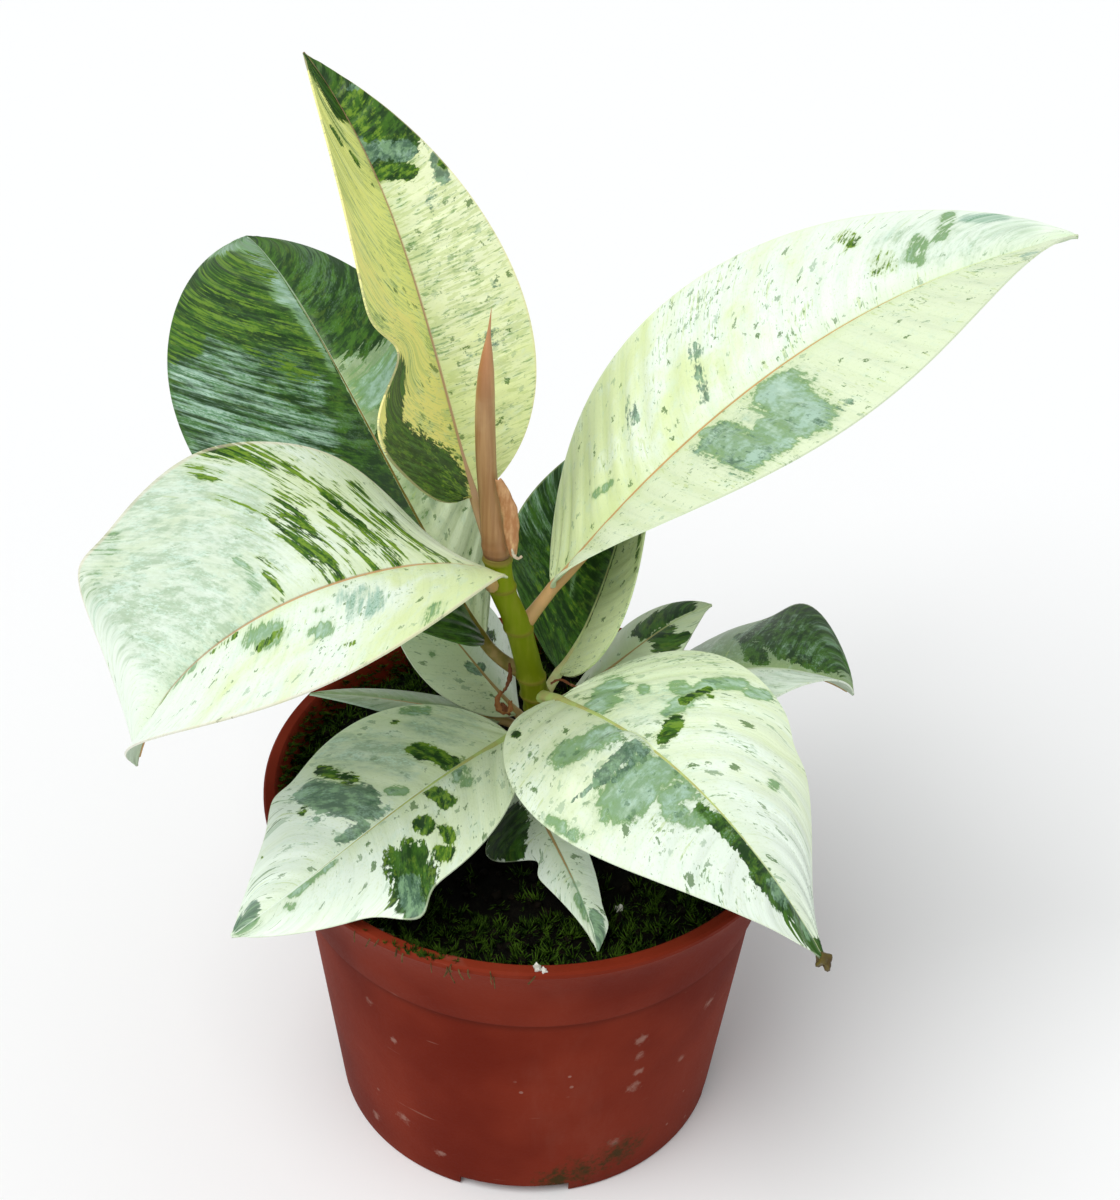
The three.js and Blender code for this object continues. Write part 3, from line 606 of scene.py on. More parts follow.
# sunk: how deep a stalk starts in the stem. AtMeet: where it joins its midrib past the base of the blade.
stalk = {
    "sunk": 2.2, "sunkAtMeet": 1.1, "dropAtMeet": 0.7, "dropReach": 6, "sweep": 0.45, "flare": 0.35,
    "knots": 12, "midribKnots": 40, "midrib": 0.85, "midribTip": 0.12, "midribEnd": 0.985,
}
# the mist marks are partly a cloudy grey-mint tint of the leaf and partly painted sheen on its grey
# patches
tones = ("dark", "green", "grey", "slate", "mist", "teal")


def bell(x, reach):  # 1 where x is 0, next to nothing beyond twice the reach
    return math.exp(-((x / reach) ** 2))


def nearNode(z, reach):  # 1 at the height where a stalk leaves the stem
    return max(bell(z - leaf["node"], reach) for leaf in leafShapes.values())


def stemMiddle(z):
    x, y, foot = stem["foot"]
    height, shift, reach = stem["kink"]
    rise = max(0, z - foot)
    bow = shift * bell(z - height, reach)
    return Vector((x - stem["lean"] * rise - stem["leanGrowth"] * rise * rise - bow, y, z))


def stemRadius(z):
    foot = stem["foot"][2]
    taper = (z - foot) / (stem["top"] - foot)
    thick = stem["footRadius"] + (stem["topRadius"] - stem["footRadius"]) * max(0, taper)
    return thick - stem["ring"] * (1 - nearNode(z, stem["ringReach"]))


def bend(values, s):  # from the first value at the base, towards the second, to the third at the tip
    first, second, third = values
    return first * (1 - s) ** 2 + 2 * second * s * (1 - s) + third * s * s


def directions(leaf, s):  # along the midrib, to its left and out of the upper face
    heading, pitch, roll = (math.radians(bend(leaf[name], s)) for name in ("heading", "pitch", "roll"))
    flat = math.cos(pitch)
    along = Vector((flat * math.cos(heading), flat * math.sin(heading), math.sin(pitch)))
    level = Vector((-math.sin(heading), math.cos(heading), 0))
    left = level * math.cos(roll) + along.cross(level) * math.sin(roll)
    return along, left, along.cross(left)


def halfWidth(half, s):
    a, b = half["ends"]
    widest = a / (a + b)
    outline = s ** a * (1 - s) ** b / (widest ** a * (1 - widest) ** b)
    waves = sum(share * bell(s - at, reach) for at, share, reach in half.get("bumps", ()))
    return half["width"] * outline * (1 + waves)


def veinStart(leaf, half, s, across):  # where on the midrib the side vein through a place starts
    return s * leaf["length"] - half.get("lean", blade["veinLean"]) * half["width"] * across ** 1.4


def flatPlace(leaf, half, s, across):  # a place on the blade as if it were pressed flat
    return Vector((s * leaf["length"], across * halfWidth(half, s)))


def markDepth(place, path, reach):  # 1 in the middle of a mark, 0 at its edge, less than 0 outside
    nearest = (place - path[0]).length
    for start, end in zip(path, path[1:]):
        spot, share = geometry.intersect_point_line(place, start, end)
        if 0 < share < 1:
            nearest = min(nearest, (place - spot).length)
        nearest = min(nearest, (place - end).length)
    return (1 - nearest / reach) * max(1, reach / 5)


def flatMarks(leaf, half, marks):  # the marks of one half with their paths pressed flat
    return [(tone, reach, extra, [flatPlace(leaf, half, *spot) for spot in path])
            for tone, reach, extra, *path in marks]


def midribPath(leaf, rows):
    middle = Vector(leaf["base"])
    before = directions(leaf, 0)[0]
    for i in range(rows + 1):
        along, left, up = directions(leaf, i / rows)
        if i:
            middle = middle + (before + along) * leaf["length"] / rows / 2
        before = along
        yield i / rows, middle, along, left, up


def bladePoints(leaf, rows, columns):  # for each row, the places across it and how far across they lie
    for s, middle, along, left, up in midribPath(leaf, rows):
        row = {0: (middle, 0.0)}
        narrowest = leaf["stalk"] * 0.7 * (1 - s) + blade["tipHalfWidth"] * s
        for side, sign in (("left", 1), ("right", -1)):
            half = leaf[side]
            stepLength = max(halfWidth(half, s), narrowest) / columns
            reached = middle.copy()
            for column in range(columns):
                across = (column + 0.5) / columns
                droop = half.get("droop", 0) * bell(s, blade["droopReach"])
                tilt = math.radians(bend(half["fold"], s) - bend(half["curl"], s) * across - droop)
                reached += left * (sign * stepLength * math.cos(tilt))
                reached += up * (stepLength * math.sin(tilt))
                row[sign * (column + 1)] = (reached.copy(), (column + 1) * stepLength)
        yield s, up, row


def bladeSheet(leaf, look):
    columns = max(10, round(max(leaf["left"]["width"], leaf["right"]["width"]) / blade["columnStep"]))
    rows = max(60, round(leaf["length"] / blade["rowStep"]))
    bm = bmesh.new()
    bmesh.ops.create_grid(bm, x_segments=2 * columns, y_segments=rows, size=1)
    placeLayer = bm.verts.layers.float_vector.new("blade")
    toneLayer = bm.verts.layers.float_vector.new("tones")
    softLayer = bm.verts.layers.float_vector.new("soft tones")
    points = list(bladePoints(leaf, rows, columns))
    marks = {side: flatMarks(leaf, leaf[side], look[side]) for side in ("left", "right")}
    bulges = {"left": [], "right": []}
    for bulge in look.get("bulges", ()):
        bulges[bulge[0]] += flatMarks(leaf, leaf[bulge[0]], [bulge])
    for vert in bm.verts:
        # the left half is at negative x, so that the faces point up
        column = -round(vert.co.x * columns)
        s, up, row = points[round((vert.co.y + 1) / 2 * rows)]
        side = "left" if column > 0 else "right"
        half = leaf[side]
        across = abs(column) / columns
        place, reach = row[column]
        vein = veinStart(leaf, half, s, across)
        flat = flatPlace(leaf, half, s, across)
        depths = dict.fromkeys(tones, -1.0)
        for tone, width, cover, path in marks[side]:
            depths[tone] = max(depths[tone], min(markDepth(flat, path, width), cover))
        swelling = sum(height * max(0, min(1, 1.6 * markDepth(flat, path, width))) ** 0.7
                       for tone, width, height, path in bulges[side])
        arch = 4 * across * (1 - across)
        groove = -blade["groove"] * bell(reach, blade["grooveReach"]) * min(1, 8 * (1 - s))
        quilt = blade["quilt"] * math.sin(vein * blade["veinRate"]) * arch
        swing = blade["foldSwing"] * math.sin(vein * blade["foldDrift"])
        folds = look["waves"] * math.sin(vein * blade["foldRate"] + swing) * arch
        vert.co = place + up * (groove + quilt + folds + swelling)
        vert[placeLayer] = (vein, math.copysign(reach, column), across)
        vert[toneLayer] = (depths["dark"], depths["green"], depths["grey"])
        vert[softLayer] = (depths["slate"], depths["mist"], depths["teal"])
    return bm


def stalkRod(leaf):  # the stalk and, running on from it, the midrib under the blade
    meet = leaf.get("meet", 0)
    # how much lower than the midrib it runs where the two meet, and how deep in the stem it starts
    low, sunkStart = (stalk["dropAtMeet"], stalk["sunkAtMeet"]) if meet else (0, stalk["sunk"])
    ends = ((middle - up * 2 * low, along)
            for s, middle, along, left, up in midribPath(leaf, 50) if s >= meet)
    end, along = next(ends)
    stemPlace = stemMiddle(leaf["node"])
    away = (end - stemPlace) * Vector((1, 1, 0))
    if "root" in leaf:
        away = Matrix.Rotation(math.radians(leaf["root"]), 3, "Z") @ Vector((1, 0, 0))
    start = stemPlace + away.normalized() * (stemRadius(leaf["node"]) - sunkStart)
    pull = end - along * leaf.get("sweep", stalk["sweep"]) * (end - start).length
    knots = stalk["knots"]
    pulls = start.lerp(pull, 2 / 3), end.lerp(pull, 2 / 3)
    points = geometry.interpolate_bezier(start, *pulls, end, knots)
    radii = [leaf["stalk"] * (1 + stalk["flare"] * (1 - i / (knots - 1)) ** 3) for i in range(knots)]
    radii[0] *= 0.5
    for s, middle, along, left, up in midribPath(leaf, stalk["midribKnots"]):
        thick = leaf["stalk"] * (1 - s) ** 0.8 * stalk["midrib"] + stalk["midribTip"]
        sunk = (thick * 0.6 + blade["thickness"] / 2) * (1 - math.exp(-s * leaf["length"] / 5))
        sunk += low * math.exp(-(s - meet) * leaf["length"] / stalk["dropReach"])
        if meet < s < stalk["midribEnd"]:
            points.append(middle - up * sunk)
            radii.append(thick)
    return rod(points, radii)


def bladeMaterial(name, look, seed, length, under=False):
    shade = Shade(name)
    vein, aside, across = shade.split(shade.attribute("blade"))
    dark, green, grey = shade.split(shade.attribute("tones"))
    slate, mist, teal = shade.split(shade.attribute("soft tones"))
    reach = abs(aside)
    leftSide = shade.step(aside, -0.4, 0.4)

    # noise that follows the veins
    def grain(longways, crossways, offset, detail=4.0, roughness=0.6, warp=0.0):
        place = shade.join(vein * longways, aside * crossways, seed + offset)
        return shade.noise(place, 1, detail, roughness, warp) - 0.5

    def specks(longways, crossways, offset, amount):  # small specks that gather in clusters
        spread = grain(longways, crossways, offset, 2, 0.5) + clump * 0.4 + broad * 0.5
        return shade.step(spread, 0.26 - amount * 0.09, 0.31 - amount * 0.09)

    def halves(pair):  # the first tone on the left half, the second on the right
        return shade.mix(leftSide, colours[pair[1]], colours[pair[0]])

    streaks = look["streaks"]
    streak = grain(0.55, 0.085, 0.0, 5, 0.66, 0.3)
    clump = grain(0.26, 0.2, 3.0, 5, 0.66, 0.5)
    ragged = grain(1.1, 0.7, 11.0, 4, 0.66)
    blotch = grain(0.55, 0.35, 17.0, 4, 0.65)
    broad = grain(0.07, 0.06, 7.0, 2)
    fine = grain(3.0, 1.9, 23.0, 3, 0.6)
    thread = grain(1.5, 0.11, 29.0, 3, 0.6)
    edge = streak * (2.6 * streaks) + thread * (1.9 * streaks) + clump * (2.3 * (1 - streaks))
    edge = edge + ragged * (1.3 - 0.7 * streaks)
    inner = blotch * (1 - streaks) + thread * streaks
    place = vein * (1 / length)

    outward = place + broad * 1.2 + clump * 0.7
    colour = shade.lay(halves(look["ground"]), halves(look["second"]), outward, 0.05, 0.55)
    # painted shade, partly the leaf's own yellowish banding: lime laid in the troughs of the folds
    # towards the base
    folds = (vein * blade["foldRate"] + (vein * blade["foldDrift"]).sine() * blade["foldSwing"]).sine()
    troughTintAndShade = shade.step(folds * -1.0 + clump * 2.0, 0.3, 1.3)
    colour = shade.mix(troughTintAndShade * (0.8 - place) * look["waves"], colour, colours["lime"])
    # side veins as faint ash lines in the grooves of the quilting: vein colour, partly painted shade
    quilt = (vein * blade["veinRate"]).sine()
    colour = shade.lay(colour, colours["ash"], quilt * -1.0 + ragged, 0.8, 1.1, 0.15)
    colour = shade.mix((1 - shade.step(reach, 0.0, 6.0)) * 0.22, colour, colours["lime"])
    colour = shade.lay(colour, colours["mint"], clump + blotch, 0.0, 0.3, 0.3)
    colour = shade.lay(colour, colours["sage"], fine + ragged * 0.5, 0.04, 0.2, 0.3)
    colour = shade.mix(specks(1.5, 0.2, 53.0, look["dashes"] * 1.5) * 0.45, colour, colours["lime"])
    dash = specks(2.0, 0.3, 37.0, look["dashes"])
    colour = shade.mix(dash * (0.5 + blotch * 2.0), colour, colours["rim green"])
    warped = shade.join(vein * 0.4 + ragged * 1.6 + fine * 0.5, aside * 0.32 + blotch * 1.6, seed + 31)
    flat = {"voronoi_dimensions": "2D"}
    cell = {"Vector": warped, "Scale": 1.0}
    away = shade.node("ShaderNodeTexVoronoi", flat, cell, "Distance")
    lot, tint = shade.split(shade.node("ShaderNodeTexVoronoi", flat, cell, "Color"))[:2]
    dots = shade.step(lot * lot * lot * 0.42 * look["flecks"] - away, 0.0, 0.1)
    dotColour = shade.lay(colours["grey"], colours["green"], tint, 0.2, 0.8)
    colour = shade.mix(dots * (tint * 0.5 + 0.35), colour, dotColour)
    speck = specks(1.7, 0.9, 43.0, look["flecks"])
    speckColour = shade.mix(tint, colours["rim green"], colours["green"])
    colour = shade.mix(speck * (0.55 + clump * 1.5), colour, speckColour)

    misty = shade.lay(colours["ash"], colours["mint"], fine + blotch, -0.05, 0.2)
    shreds = shade.step(clump + ragged * 0.6, -0.12, 0.12) * 0.55 + 0.35
    # the mist marks lay a grey-mint veil: the leaf's own tint in places, painted sheen in others
    colour = shade.lay(colour, misty, mist + edge, -0.6, 1.0, shreds)
    deep = shade.lay(colours["dark"], colours["green"], blotch + streak, -0.12, 0.16)
    deep = shade.lay(deep, colours["spring"], ragged + clump, 0.02, 0.2, look["fresh"])
    deep = shade.lay(deep, colours["blue"], fine + streak + broad, 0.08, 0.3, look["frost"])
    covered = shade.step(dark + edge, -0.06, 0.08)
    colour = shade.mix(covered, colour, deep)
    ashen = shade.lay(colours["grey"], colours["blue"], blotch + broad, -0.1, 0.16)
    ashen = shade.lay(ashen, colours["mint"], clump + streak, 0.0, 0.3, 0.5)
    ashen = shade.lay(colours["rim green"], ashen, grey + edge, 0.0, 0.7)
    ashen = shade.mix(dots * 0.5 + speck * 0.3, ashen, colours["slate"])
    halo = shade.step(grey + edge, -0.7, 0.2) * 0.22 + shade.step(grey + edge, -0.1, 0.2) * 0.7
    colour = shade.mix(halo, colour, ashen)
    # painted sheen: mint laid inside the grey patches where a mist mark lies, for the glossy bluish sheen
    # on them
    paintedSheen = shade.step(mist + edge, 0.2, 1.6) * shade.step(grey, -0.2, 0.2) * 0.75
    colour = shade.mix(paintedSheen, colour, colours["mint"])
    slaty = shade.lay(colours["slate"], colours["grey"], blotch + ragged * 0.5, -0.08, 0.14)
    slaty = shade.lay(slaty, colours["blue"], clump + fine * 0.5, 0.02, 0.2, 0.5)
    colour = shade.lay(colour, slaty, slate + edge, -0.1, 0.14, 0.92)
    watery = shade.lay(colours["teal"], colours["blue"], fine + thread, -0.16, 0.12)
    watery = shade.lay(watery, colours["mint"], streak + fine * 0.5, 0.06, 0.3, 0.7)
    colour = shade.lay(colour, watery, teal + edge, -0.2, 0.7, 0.95)
    leafy = shade.lay(colours["dark"], colours["green"], inner, -0.1, 0.06)
    leafy = shade.lay(leafy, colours["spring"], ragged + inner, -0.04, 0.16, 0.4 + look["fresh"])
    colour = shade.lay(colour, colours["lime"], green + edge, -0.5, 0.1, (1 - covered) * 0.3)
    colour = shade.lay(colour, leafy, green + edge, -0.05, 0.1)
    if "tip" in look:
        colour = shade.lay(colour, colours[look["tip"]], place + ragged * 0.05, 0.955, 0.985)
    ribReach = 0.62 - vein * (0.35 / length)
    rib = 1 - shade.step(reach, ribReach - 0.3, ribReach)
    colour = shade.mix(rib * 0.8, colour, colours[look["rib"]])
    colour = shade.lay(colour, colours[look["edge"]], across, 0.975, 0.99, 0.4)
    ridges = grain(0.75, 0.03, 41.0, 3)
    relief = ridges * 0.6 + ragged * 0.3 - rib * 0.3
    if under:
        colour = shade.mix(0.5, colour, colours["ash"])
        return shade.finish(colour, ragged * 0.2 + 0.6, relief, 0.25, Specular_IOR_Level=0.2)
    return shade.finish(colour, ragged * 0.2 + 0.36, relief, 0.2, Specular_IOR_Level=0.28)


def stalkMaterial(name, tone, ribTone):
    shade = Shade(name)
    place = shade.place()
    mottle = shade.noise(place, 260, 3, 0.5)
    colour = shade.lay(colours[tone], colours[ribTone], mottle, 0.35, 0.7, 0.6)
    return shade.finish(colour, mottle * 0.15 + 0.38, mottle, 0.1, Specular_IOR_Level=0.3)


def makeLeaf(name, leaf, look, seed):
    materials = [
        bladeMaterial(name + "_upper", look, seed, leaf["length"]),
        bladeMaterial(name + "_under", look, seed, leaf["length"], under=True),
        stalkMaterial(name + "_stalk", look["stalk"], "tan"),
    ]
    slot = next(row["material_slot"] for row in frame["record"]["subparts"] if row["node"] == name)
    piece = addPiece(name + "_blade", bladeSheet(leaf, look), materials, (name,))
    solid = piece.modifiers.new("thickness", "SOLIDIFY")
    solid.thickness = blade["thickness"] * mm
    solid.offset = 0
    solid.material_offset = 1
    solid.material_offset_rim = 0
    settle(piece)
    bm = bmesh.new()
    bm.from_mesh(piece.data)
    bar = stalkRod(leaf)
    bmesh.ops.scale(bar, vec=(mm, mm, mm), verts=bar.verts)
    addTo(bm, bar, 2)
    bm.to_mesh(piece.data)
    bm.free()
    piece.data.shade_smooth()
    piece.data.set_sharp_from_angle(angle=math.radians(50))
    if "lump" in look:  # a dry lump on the tip
        tip = list(midribPath(leaf, 50))[-1][1]
        place = Matrix.Translation(tip)
        lump = bmesh.new()
        bmesh.ops.create_icosphere(lump, subdivisions=3, radius=look["lump"], matrix=place)
        for vert in lump.verts:
            vert.co = tip.lerp(vert.co, 1 + 0.9 * noise.noise(vert.co * 0.9))
        addPiece(name + "_lump", lump, [stalkMaterial(name + "_lump", "brown", "olive")])


for seed, (name, leaf) in enumerate(leafShapes.items()):
    makeLeaf(name, leaf, {**usualLook, **leafLooks[name]}, seed * 31.7)
    print(name, "made")


def turned(outline, sides):  # a (radius, height) outline turned about the vertical axis
    bm = bmesh.new()
    verts = [bm.verts.new((radius, 0, z)) for radius, z in outline]
    edges = [bm.edges.new(pair) for pair in zip(verts, verts[1:])]
    bmesh.ops.spin(bm, geom=verts + edges, axis=(0, 0, 1), angle=math.tau, steps=sides, use_merge=True)
    bmesh.ops.remove_doubles(bm, verts=bm.verts, dist=1e-4)
    bmesh.ops.recalc_face_normals(bm, faces=bm.faces)
    return bm


def budMiddle(z):
    rise = z - stem["top"]
    foot = stemMiddle(stem["top"])
    return Vector((foot.x - bud["lean"] * rise + bud["back"] * rise * rise, foot.y, z))


def between(stations, z):  # the radius at a height, from (height, radius) stations
    for (low, first), (high, second) in zip(stations, stations[1:]):
        if z <= high:
            return first + (second - first) * max(0, z - low) / (high - low)
    return stations[-1][1]


def stemMaterial():
    shade = Shade("stem_skin")
    place = shade.place()
    x, y, z = shade.split(place)
    drawn = shade.noise(shade.join(x * 700.0, y * 700.0, z * 90.0), 1, 3, 0.5)
    broad = shade.noise(place, 160, 2)
    colour = shade.lay(stem["bark"], stem["youngBark"], z, 0.09, 0.14)
    colour = shade.lay(colour, stem["streaks"], drawn + broad * 0.5, 0.6, 1.0, 0.7)
    colour = shade.lay(colour, stem["cuff"], z, 0.1443, 0.1457, 0.8)
    for node in stem["scars"]:
        scar = 1 - shade.step(abs(z - node * mm), 0.0002, 0.0007)
        colour = shade.mix(scar * 0.55, colour, stem["scarColour"])
    return shade.finish(colour, drawn * 0.2 + 0.38, drawn, 0.06, Specular_IOR_Level=0.12)


def makeStem():
    foot = stem["foot"][2]
    low = foot - stem["depth"]
    outline = [(0, low), (stem["footRadius"] - 0.3, low), (stem["footRadius"], low + 1)]
    steps = round((stem["top"] - foot) / 0.25)
    for i in range(steps + 1):
        z = foot + (stem["top"] - foot) * i / steps
        outline.append((stemRadius(z) + stem["collar"] * nearNode(z, stem["collarReach"]), z))
    outline += [(stem["topRadius"] - 0.3, stem["top"] + 0.15), (0, stem["top"] + 0.2)]
    bm = turned(outline, 40)
    for vert in bm.verts:
        middle = stemMiddle(vert.co.z)
        ribs = 1 + 0.02 * noise.noise(vert.co * Vector((0.9, 0.9, 0.1)))
        vert.co = (vert.co.x * ribs + middle.x, vert.co.y * ribs + middle.y, vert.co.z)
    addPiece("stem_rod", bm, [stemMaterial()], ("stem",))


def budMaterial():
    shade = Shade("bud_skin")
    place = shade.place()
    x, y, z = shade.split(place)
    drawn = shade.noise(shade.join(x * 900.0, y * 900.0, z * 50.0), 1, 3, 0.5)
    broad = shade.noise(place, 120, 3)
    colour = shade.lay(bud["skin"], bud["pale"], drawn, 0.3, 0.75)
    colour = shade.lay(colour, bud["red"], z, 0.18, 0.199, 0.6)
    colour = shade.mix((1 - shade.step(z, 0.1495, 0.1535)) * 0.5, colour, bud["low"])
    colour = shade.mix((1 - shade.step(z, 0.1466, 0.1474)) * 0.7, colour, bud["foot"])
    # painted highlight: a light tan laid in broad patches for the bright sheen on the bud's satin skin
    colour = shade.lay(colour, bud["paintedHighlight"], broad, 0.5, 0.75, 0.4)
    return shade.finish(colour, drawn * 0.2 + 0.32, drawn, 0.07, Specular_IOR_Level=0.35)


def makeBud():
    low = stem["top"] + 0.3
    heights = [height for height, radius in bud["outline"]]
    outline = [(0, low)]
    for i in range(121):
        height = heights[-1] * i / 120
        seam = bud["seam"] * bell(height - bud["seamHeight"], bud["seamReach"])
        outline.append((between(bud["outline"], height) + seam, low + height))
    tip = low + heights[-1]
    outline += [(0.16, tip + bud["tipLength"] * 0.5), (0, tip + bud["tipLength"])]
    bm = turned(outline, 40)
    for vert in bm.verts:
        middle = budMiddle(vert.co.z)
        turn = math.atan2(vert.co.y, vert.co.x)
        twist = turn - (vert.co.z - low) * 0.09
        overlap = 1 - bud["overlap"] * max(0, math.cos(twist + 1.9)) ** 12
        vert.co = (vert.co.x * overlap + middle.x, vert.co.y * overlap + middle.y, vert.co.z)
    addPiece("bud_sheath", bm, [budMaterial()], ("terminal_bud",))


dry = {
    "path": ((-5.4, 1.5, 147.3), (-5.8, 1.4, 152), (-6.1, 1.4, 157), (-7.2, 1.4, 162),
             (-8.8, 1.2, 166.5)),
    "width": 3.2, "cup": 0.6, "ragged": 0.16, "thickness": 0.22,
    # dry scraps beside the stem: points of their middle, half width, tone
    "scraps": (
        (((-7.6, 1.4, 111.4), (-8.3, 1, 108.6), (-7.5, 0.7, 106.2), (-5.8, 0.7, 106.4), (-5.5, 1, 109)),
         0.75, "orange"),
        (((-5.9, 2.4, 118.3), (-5.7, 2.2, 115.5), (-6.1, 2.1, 112.8), (-7.2, 1.7, 110.6)), 0.4, "rust"),
        (((-7.4, 0.9, 108.4), (-6.6, 0.6, 107.2), (-5.6, 0.8, 105.2)), 0.6, "rust"),
        (((3.2, 2.2, 113.2), (5.2, 2.4, 114.2), (7.8, 2.7, 112.5), (10.4, 3, 111.4)), 0.2, "rust"),
        (((-5.7, 1, 149.6), (-5.3, 0.8, 148.1), (-4.5, 0.8, 147.3), (-3.6, 1, 147.8)), 0.3, "chalk"),
    ),
    "scrapCup": 0.3, "scrapRagged": 0.9,
    "tones": {"rust": (0.20, 0.075, 0.03), "orange": (0.38, 0.17, 0.06), "chalk": (0.66, 0.6, 0.46),
              "paper": (0.66, 0.37, 0.19)},
}


def dryMaterial(name, colour):
    shade = Shade(name)
    place = shade.place()
    x, y, z = shade.split(place)
    mottle = shade.noise(shade.join(x * 1100.0, y * 600.0, z * 350.0), 1, 4, 0.6)
    darker = (colour[0] * 0.75, colour[1] * 0.6, colour[2] * 0.5)
    lighter = (colour[0] * 0.6 + 0.4, colour[1] * 0.7 + 0.3, colour[2] * 0.8 + 0.1)
    tone = shade.lay(darker, colour, mottle, 0.35, 0.65)
    tone = shade.lay(tone, lighter, mottle, 0.6, 0.72, 0.6)
    return shade.finish(tone, 0.6, mottle, 0.1, Specular_IOR_Level=0.25)


def paperStrip(points, halfWidth, cup, raggedness):  # a cupped strip along points, facing the viewer
    rows, columns = 40, 8
    bm = bmesh.new()
    bmesh.ops.create_grid(bm, x_segments=columns, y_segments=rows, size=1)
    path = [Vector(point) for point in points]
    for vert in bm.verts:
        along = (vert.co.y + 1) / 2
        spot = along * (len(path) - 1)
        first = min(int(spot), len(path) - 2)
        share = spot - first
        before = path[max(first - 1, 0)]
        start, end = path[first], path[first + 1]
        after = path[min(first + 2, len(path) - 1)]
        pulls = start + (end - before) / 6, end - (after - start) / 6
        middle = geometry.interpolate_bezier(start, *pulls, end, 30)
        centre = middle[min(round(share * 29), 29)]
        side = (end - start).cross(Vector((0, -1, 0))).normalized()
        reach = halfWidth * math.sin(math.pi * (0.1 + 0.8 * along)) ** 0.9
        ragged = 1 + raggedness * noise.noise(Vector((along * 9, vert.co.x, points[0][2])))
        lift = -cup * abs(vert.co.x) ** 2 + 0.25 * raggedness * noise.noise(centre * 1.7 + vert.co)
        vert.co = centre + side * vert.co.x * reach * ragged + Vector((0, -1, 0)) * lift
    return bm


def makeStrip(name, strip, colour, nodes=()):
    piece = addPiece(name, strip, [dryMaterial(name + "_skin", colour)], nodes)
    solid = piece.modifiers.new("thickness", "SOLIDIFY")
    solid.thickness = dry["thickness"] * mm
    solid.offset = 0
    settle(piece)


def makeDryParts():
    sheath = paperStrip(dry["path"], dry["width"] / 2, dry["cup"], dry["ragged"])
    makeStrip("dry_sheath", sheath, dry["tones"]["paper"], ("dried_stipule",))
    for i, (points, reach, tone) in enumerate(dry["scraps"]):
        scrap = paperStrip(points, reach, dry["scrapCup"], dry["scrapRagged"])
        makeStrip(f"scrap_{i}", scrap, dry["tones"][tone])


makeStem()
makeBud()
makeDryParts()
print("stem and bud made")


# Pot

pot = {
    "height": 88, "rim": 60, "lipWidth": 3, "lipDepth": 1.6, "base": 45, "wall": 1.6, "sides": 180,
    # (height, radius) up the outside
    "side": ((0, 45), (62.5, 51.9), (64.6, 51.8), (65.2, 53.3), (71, 53.9), (77, 55), (82, 56.8),
             (85.6, 59.2)),
    "pad": 22, "foot": 4, "channel": 3, "notches": 4, "notchWidth": 25, "firstNotch": -92,
    "drains": 8, "drainRadius": 4, "drainCircle": 32, "softEdge": 0.25,
    "insideHeights": (82, 77, 71, 66.5, 64),
    "plastic": (0.132, 0.011, 0.003), "faded": (0.200, 0.024, 0.009), "ledgeShade": (0.05, 0.008, 0.004),
    "dust": (0.36, 0.19, 0.14), "chalk": (0.40, 0.25, 0.20), "algae": (0.040, 0.029, 0.006),
    "chalkStrength": 0.5, "algaeStrength": 0.9,
    # spots on the wall: place, reach
    "chalkSpots": (
        ((25.4, -43.9, 52), 2), ((25.5, -42.4, 40), 1.8), ((24.4, -42.3, 34.5), 2.6),
        ((25, -43, 46), 1.6), ((40.8, -29.6, 49), 2.6), ((35.1, -33.9, 35), 1.8),
        ((-34.2, -38, 55), 1.6), ((-28.7, -41, 46), 1.3), ((-35, -31, 8), 2.4),
        ((-26.9, -37.5, 17), 2.4), ((-18.8, -42.1, 10), 1.8), ((21.2, -41.7, 15), 3),
    ),
    "algaeSpots": (((8.5, -44.5, 4.5), 7), ((14.5, -43.5, 7), 9), ((21.5, -40.5, 10.5), 9.5)),
}


def potMaterial():
    shade = Shade("pot_plastic")
    place = shade.place()
    x, y, z = shade.split(place)
    broad = shade.noise(place, 22, 4, 0.5)
    grain = shade.noise(place, 1300, 3, 0.6)
    film = shade.noise(shade.join(x * 60.0, y * 60.0, z * 18.0), 1, 6, 0.7)
    scuff = shade.noise(shade.join(x * 30.0, y * 30.0, z * 420.0), 1, 4, 0.6)
    flecks = shade.noise(place, 600, 4, 0.7)
    colour = shade.lay(pot["plastic"], pot["faded"], broad, 0.35, 0.65)
    colour = shade.lay(colour, pot["dust"], film, 0.52, 0.78, 0.06)
    # painted shade: a dark band on the wall just under the collar's ledge, where the overhang shades it
    ledgeShade = shade.step(z, 0.0615, 0.0645) - shade.step(z, 0.065, 0.0656)
    colour = shade.mix(ledgeShade * 0.45, colour, pot["ledgeShade"])
    colour = shade.lay(colour, pot["dust"], scuff, 0.68, 0.73, 0.3)
    specks = shade.node("ShaderNodeTexVoronoi", {}, {"Vector": place, "Scale": 210.0}, "Distance")
    where = shade.noise(place, 34, 3, 0.6)
    white = (1 - shade.step(specks, 0.07, 0.12)) * shade.step(where, 0.56, 0.66)
    colour = shade.mix(white * 0.5, colour, pot["chalk"])
    for tone in ("chalk", "algae"):
        for spot, reach in pot[tone + "Spots"]:
            ends = {0: place, 1: tuple(length * mm for length in spot)}
            away = shade.node("ShaderNodeVectorMath", {"operation": "DISTANCE"}, ends, "Value")
            near = away * (1 / (reach * mm)) + (film - 0.5) * 1.6 + (flecks - 0.5) * 2.4
            cover = (1 - shade.step(near, 0.0, 0.9)) * pot[tone + "Strength"]
            colour = shade.mix(cover, colour, pot[tone])
    return shade.finish(colour, grain * 0.18 + 0.5, grain, 0.05, Specular_IOR_Level=0.05)


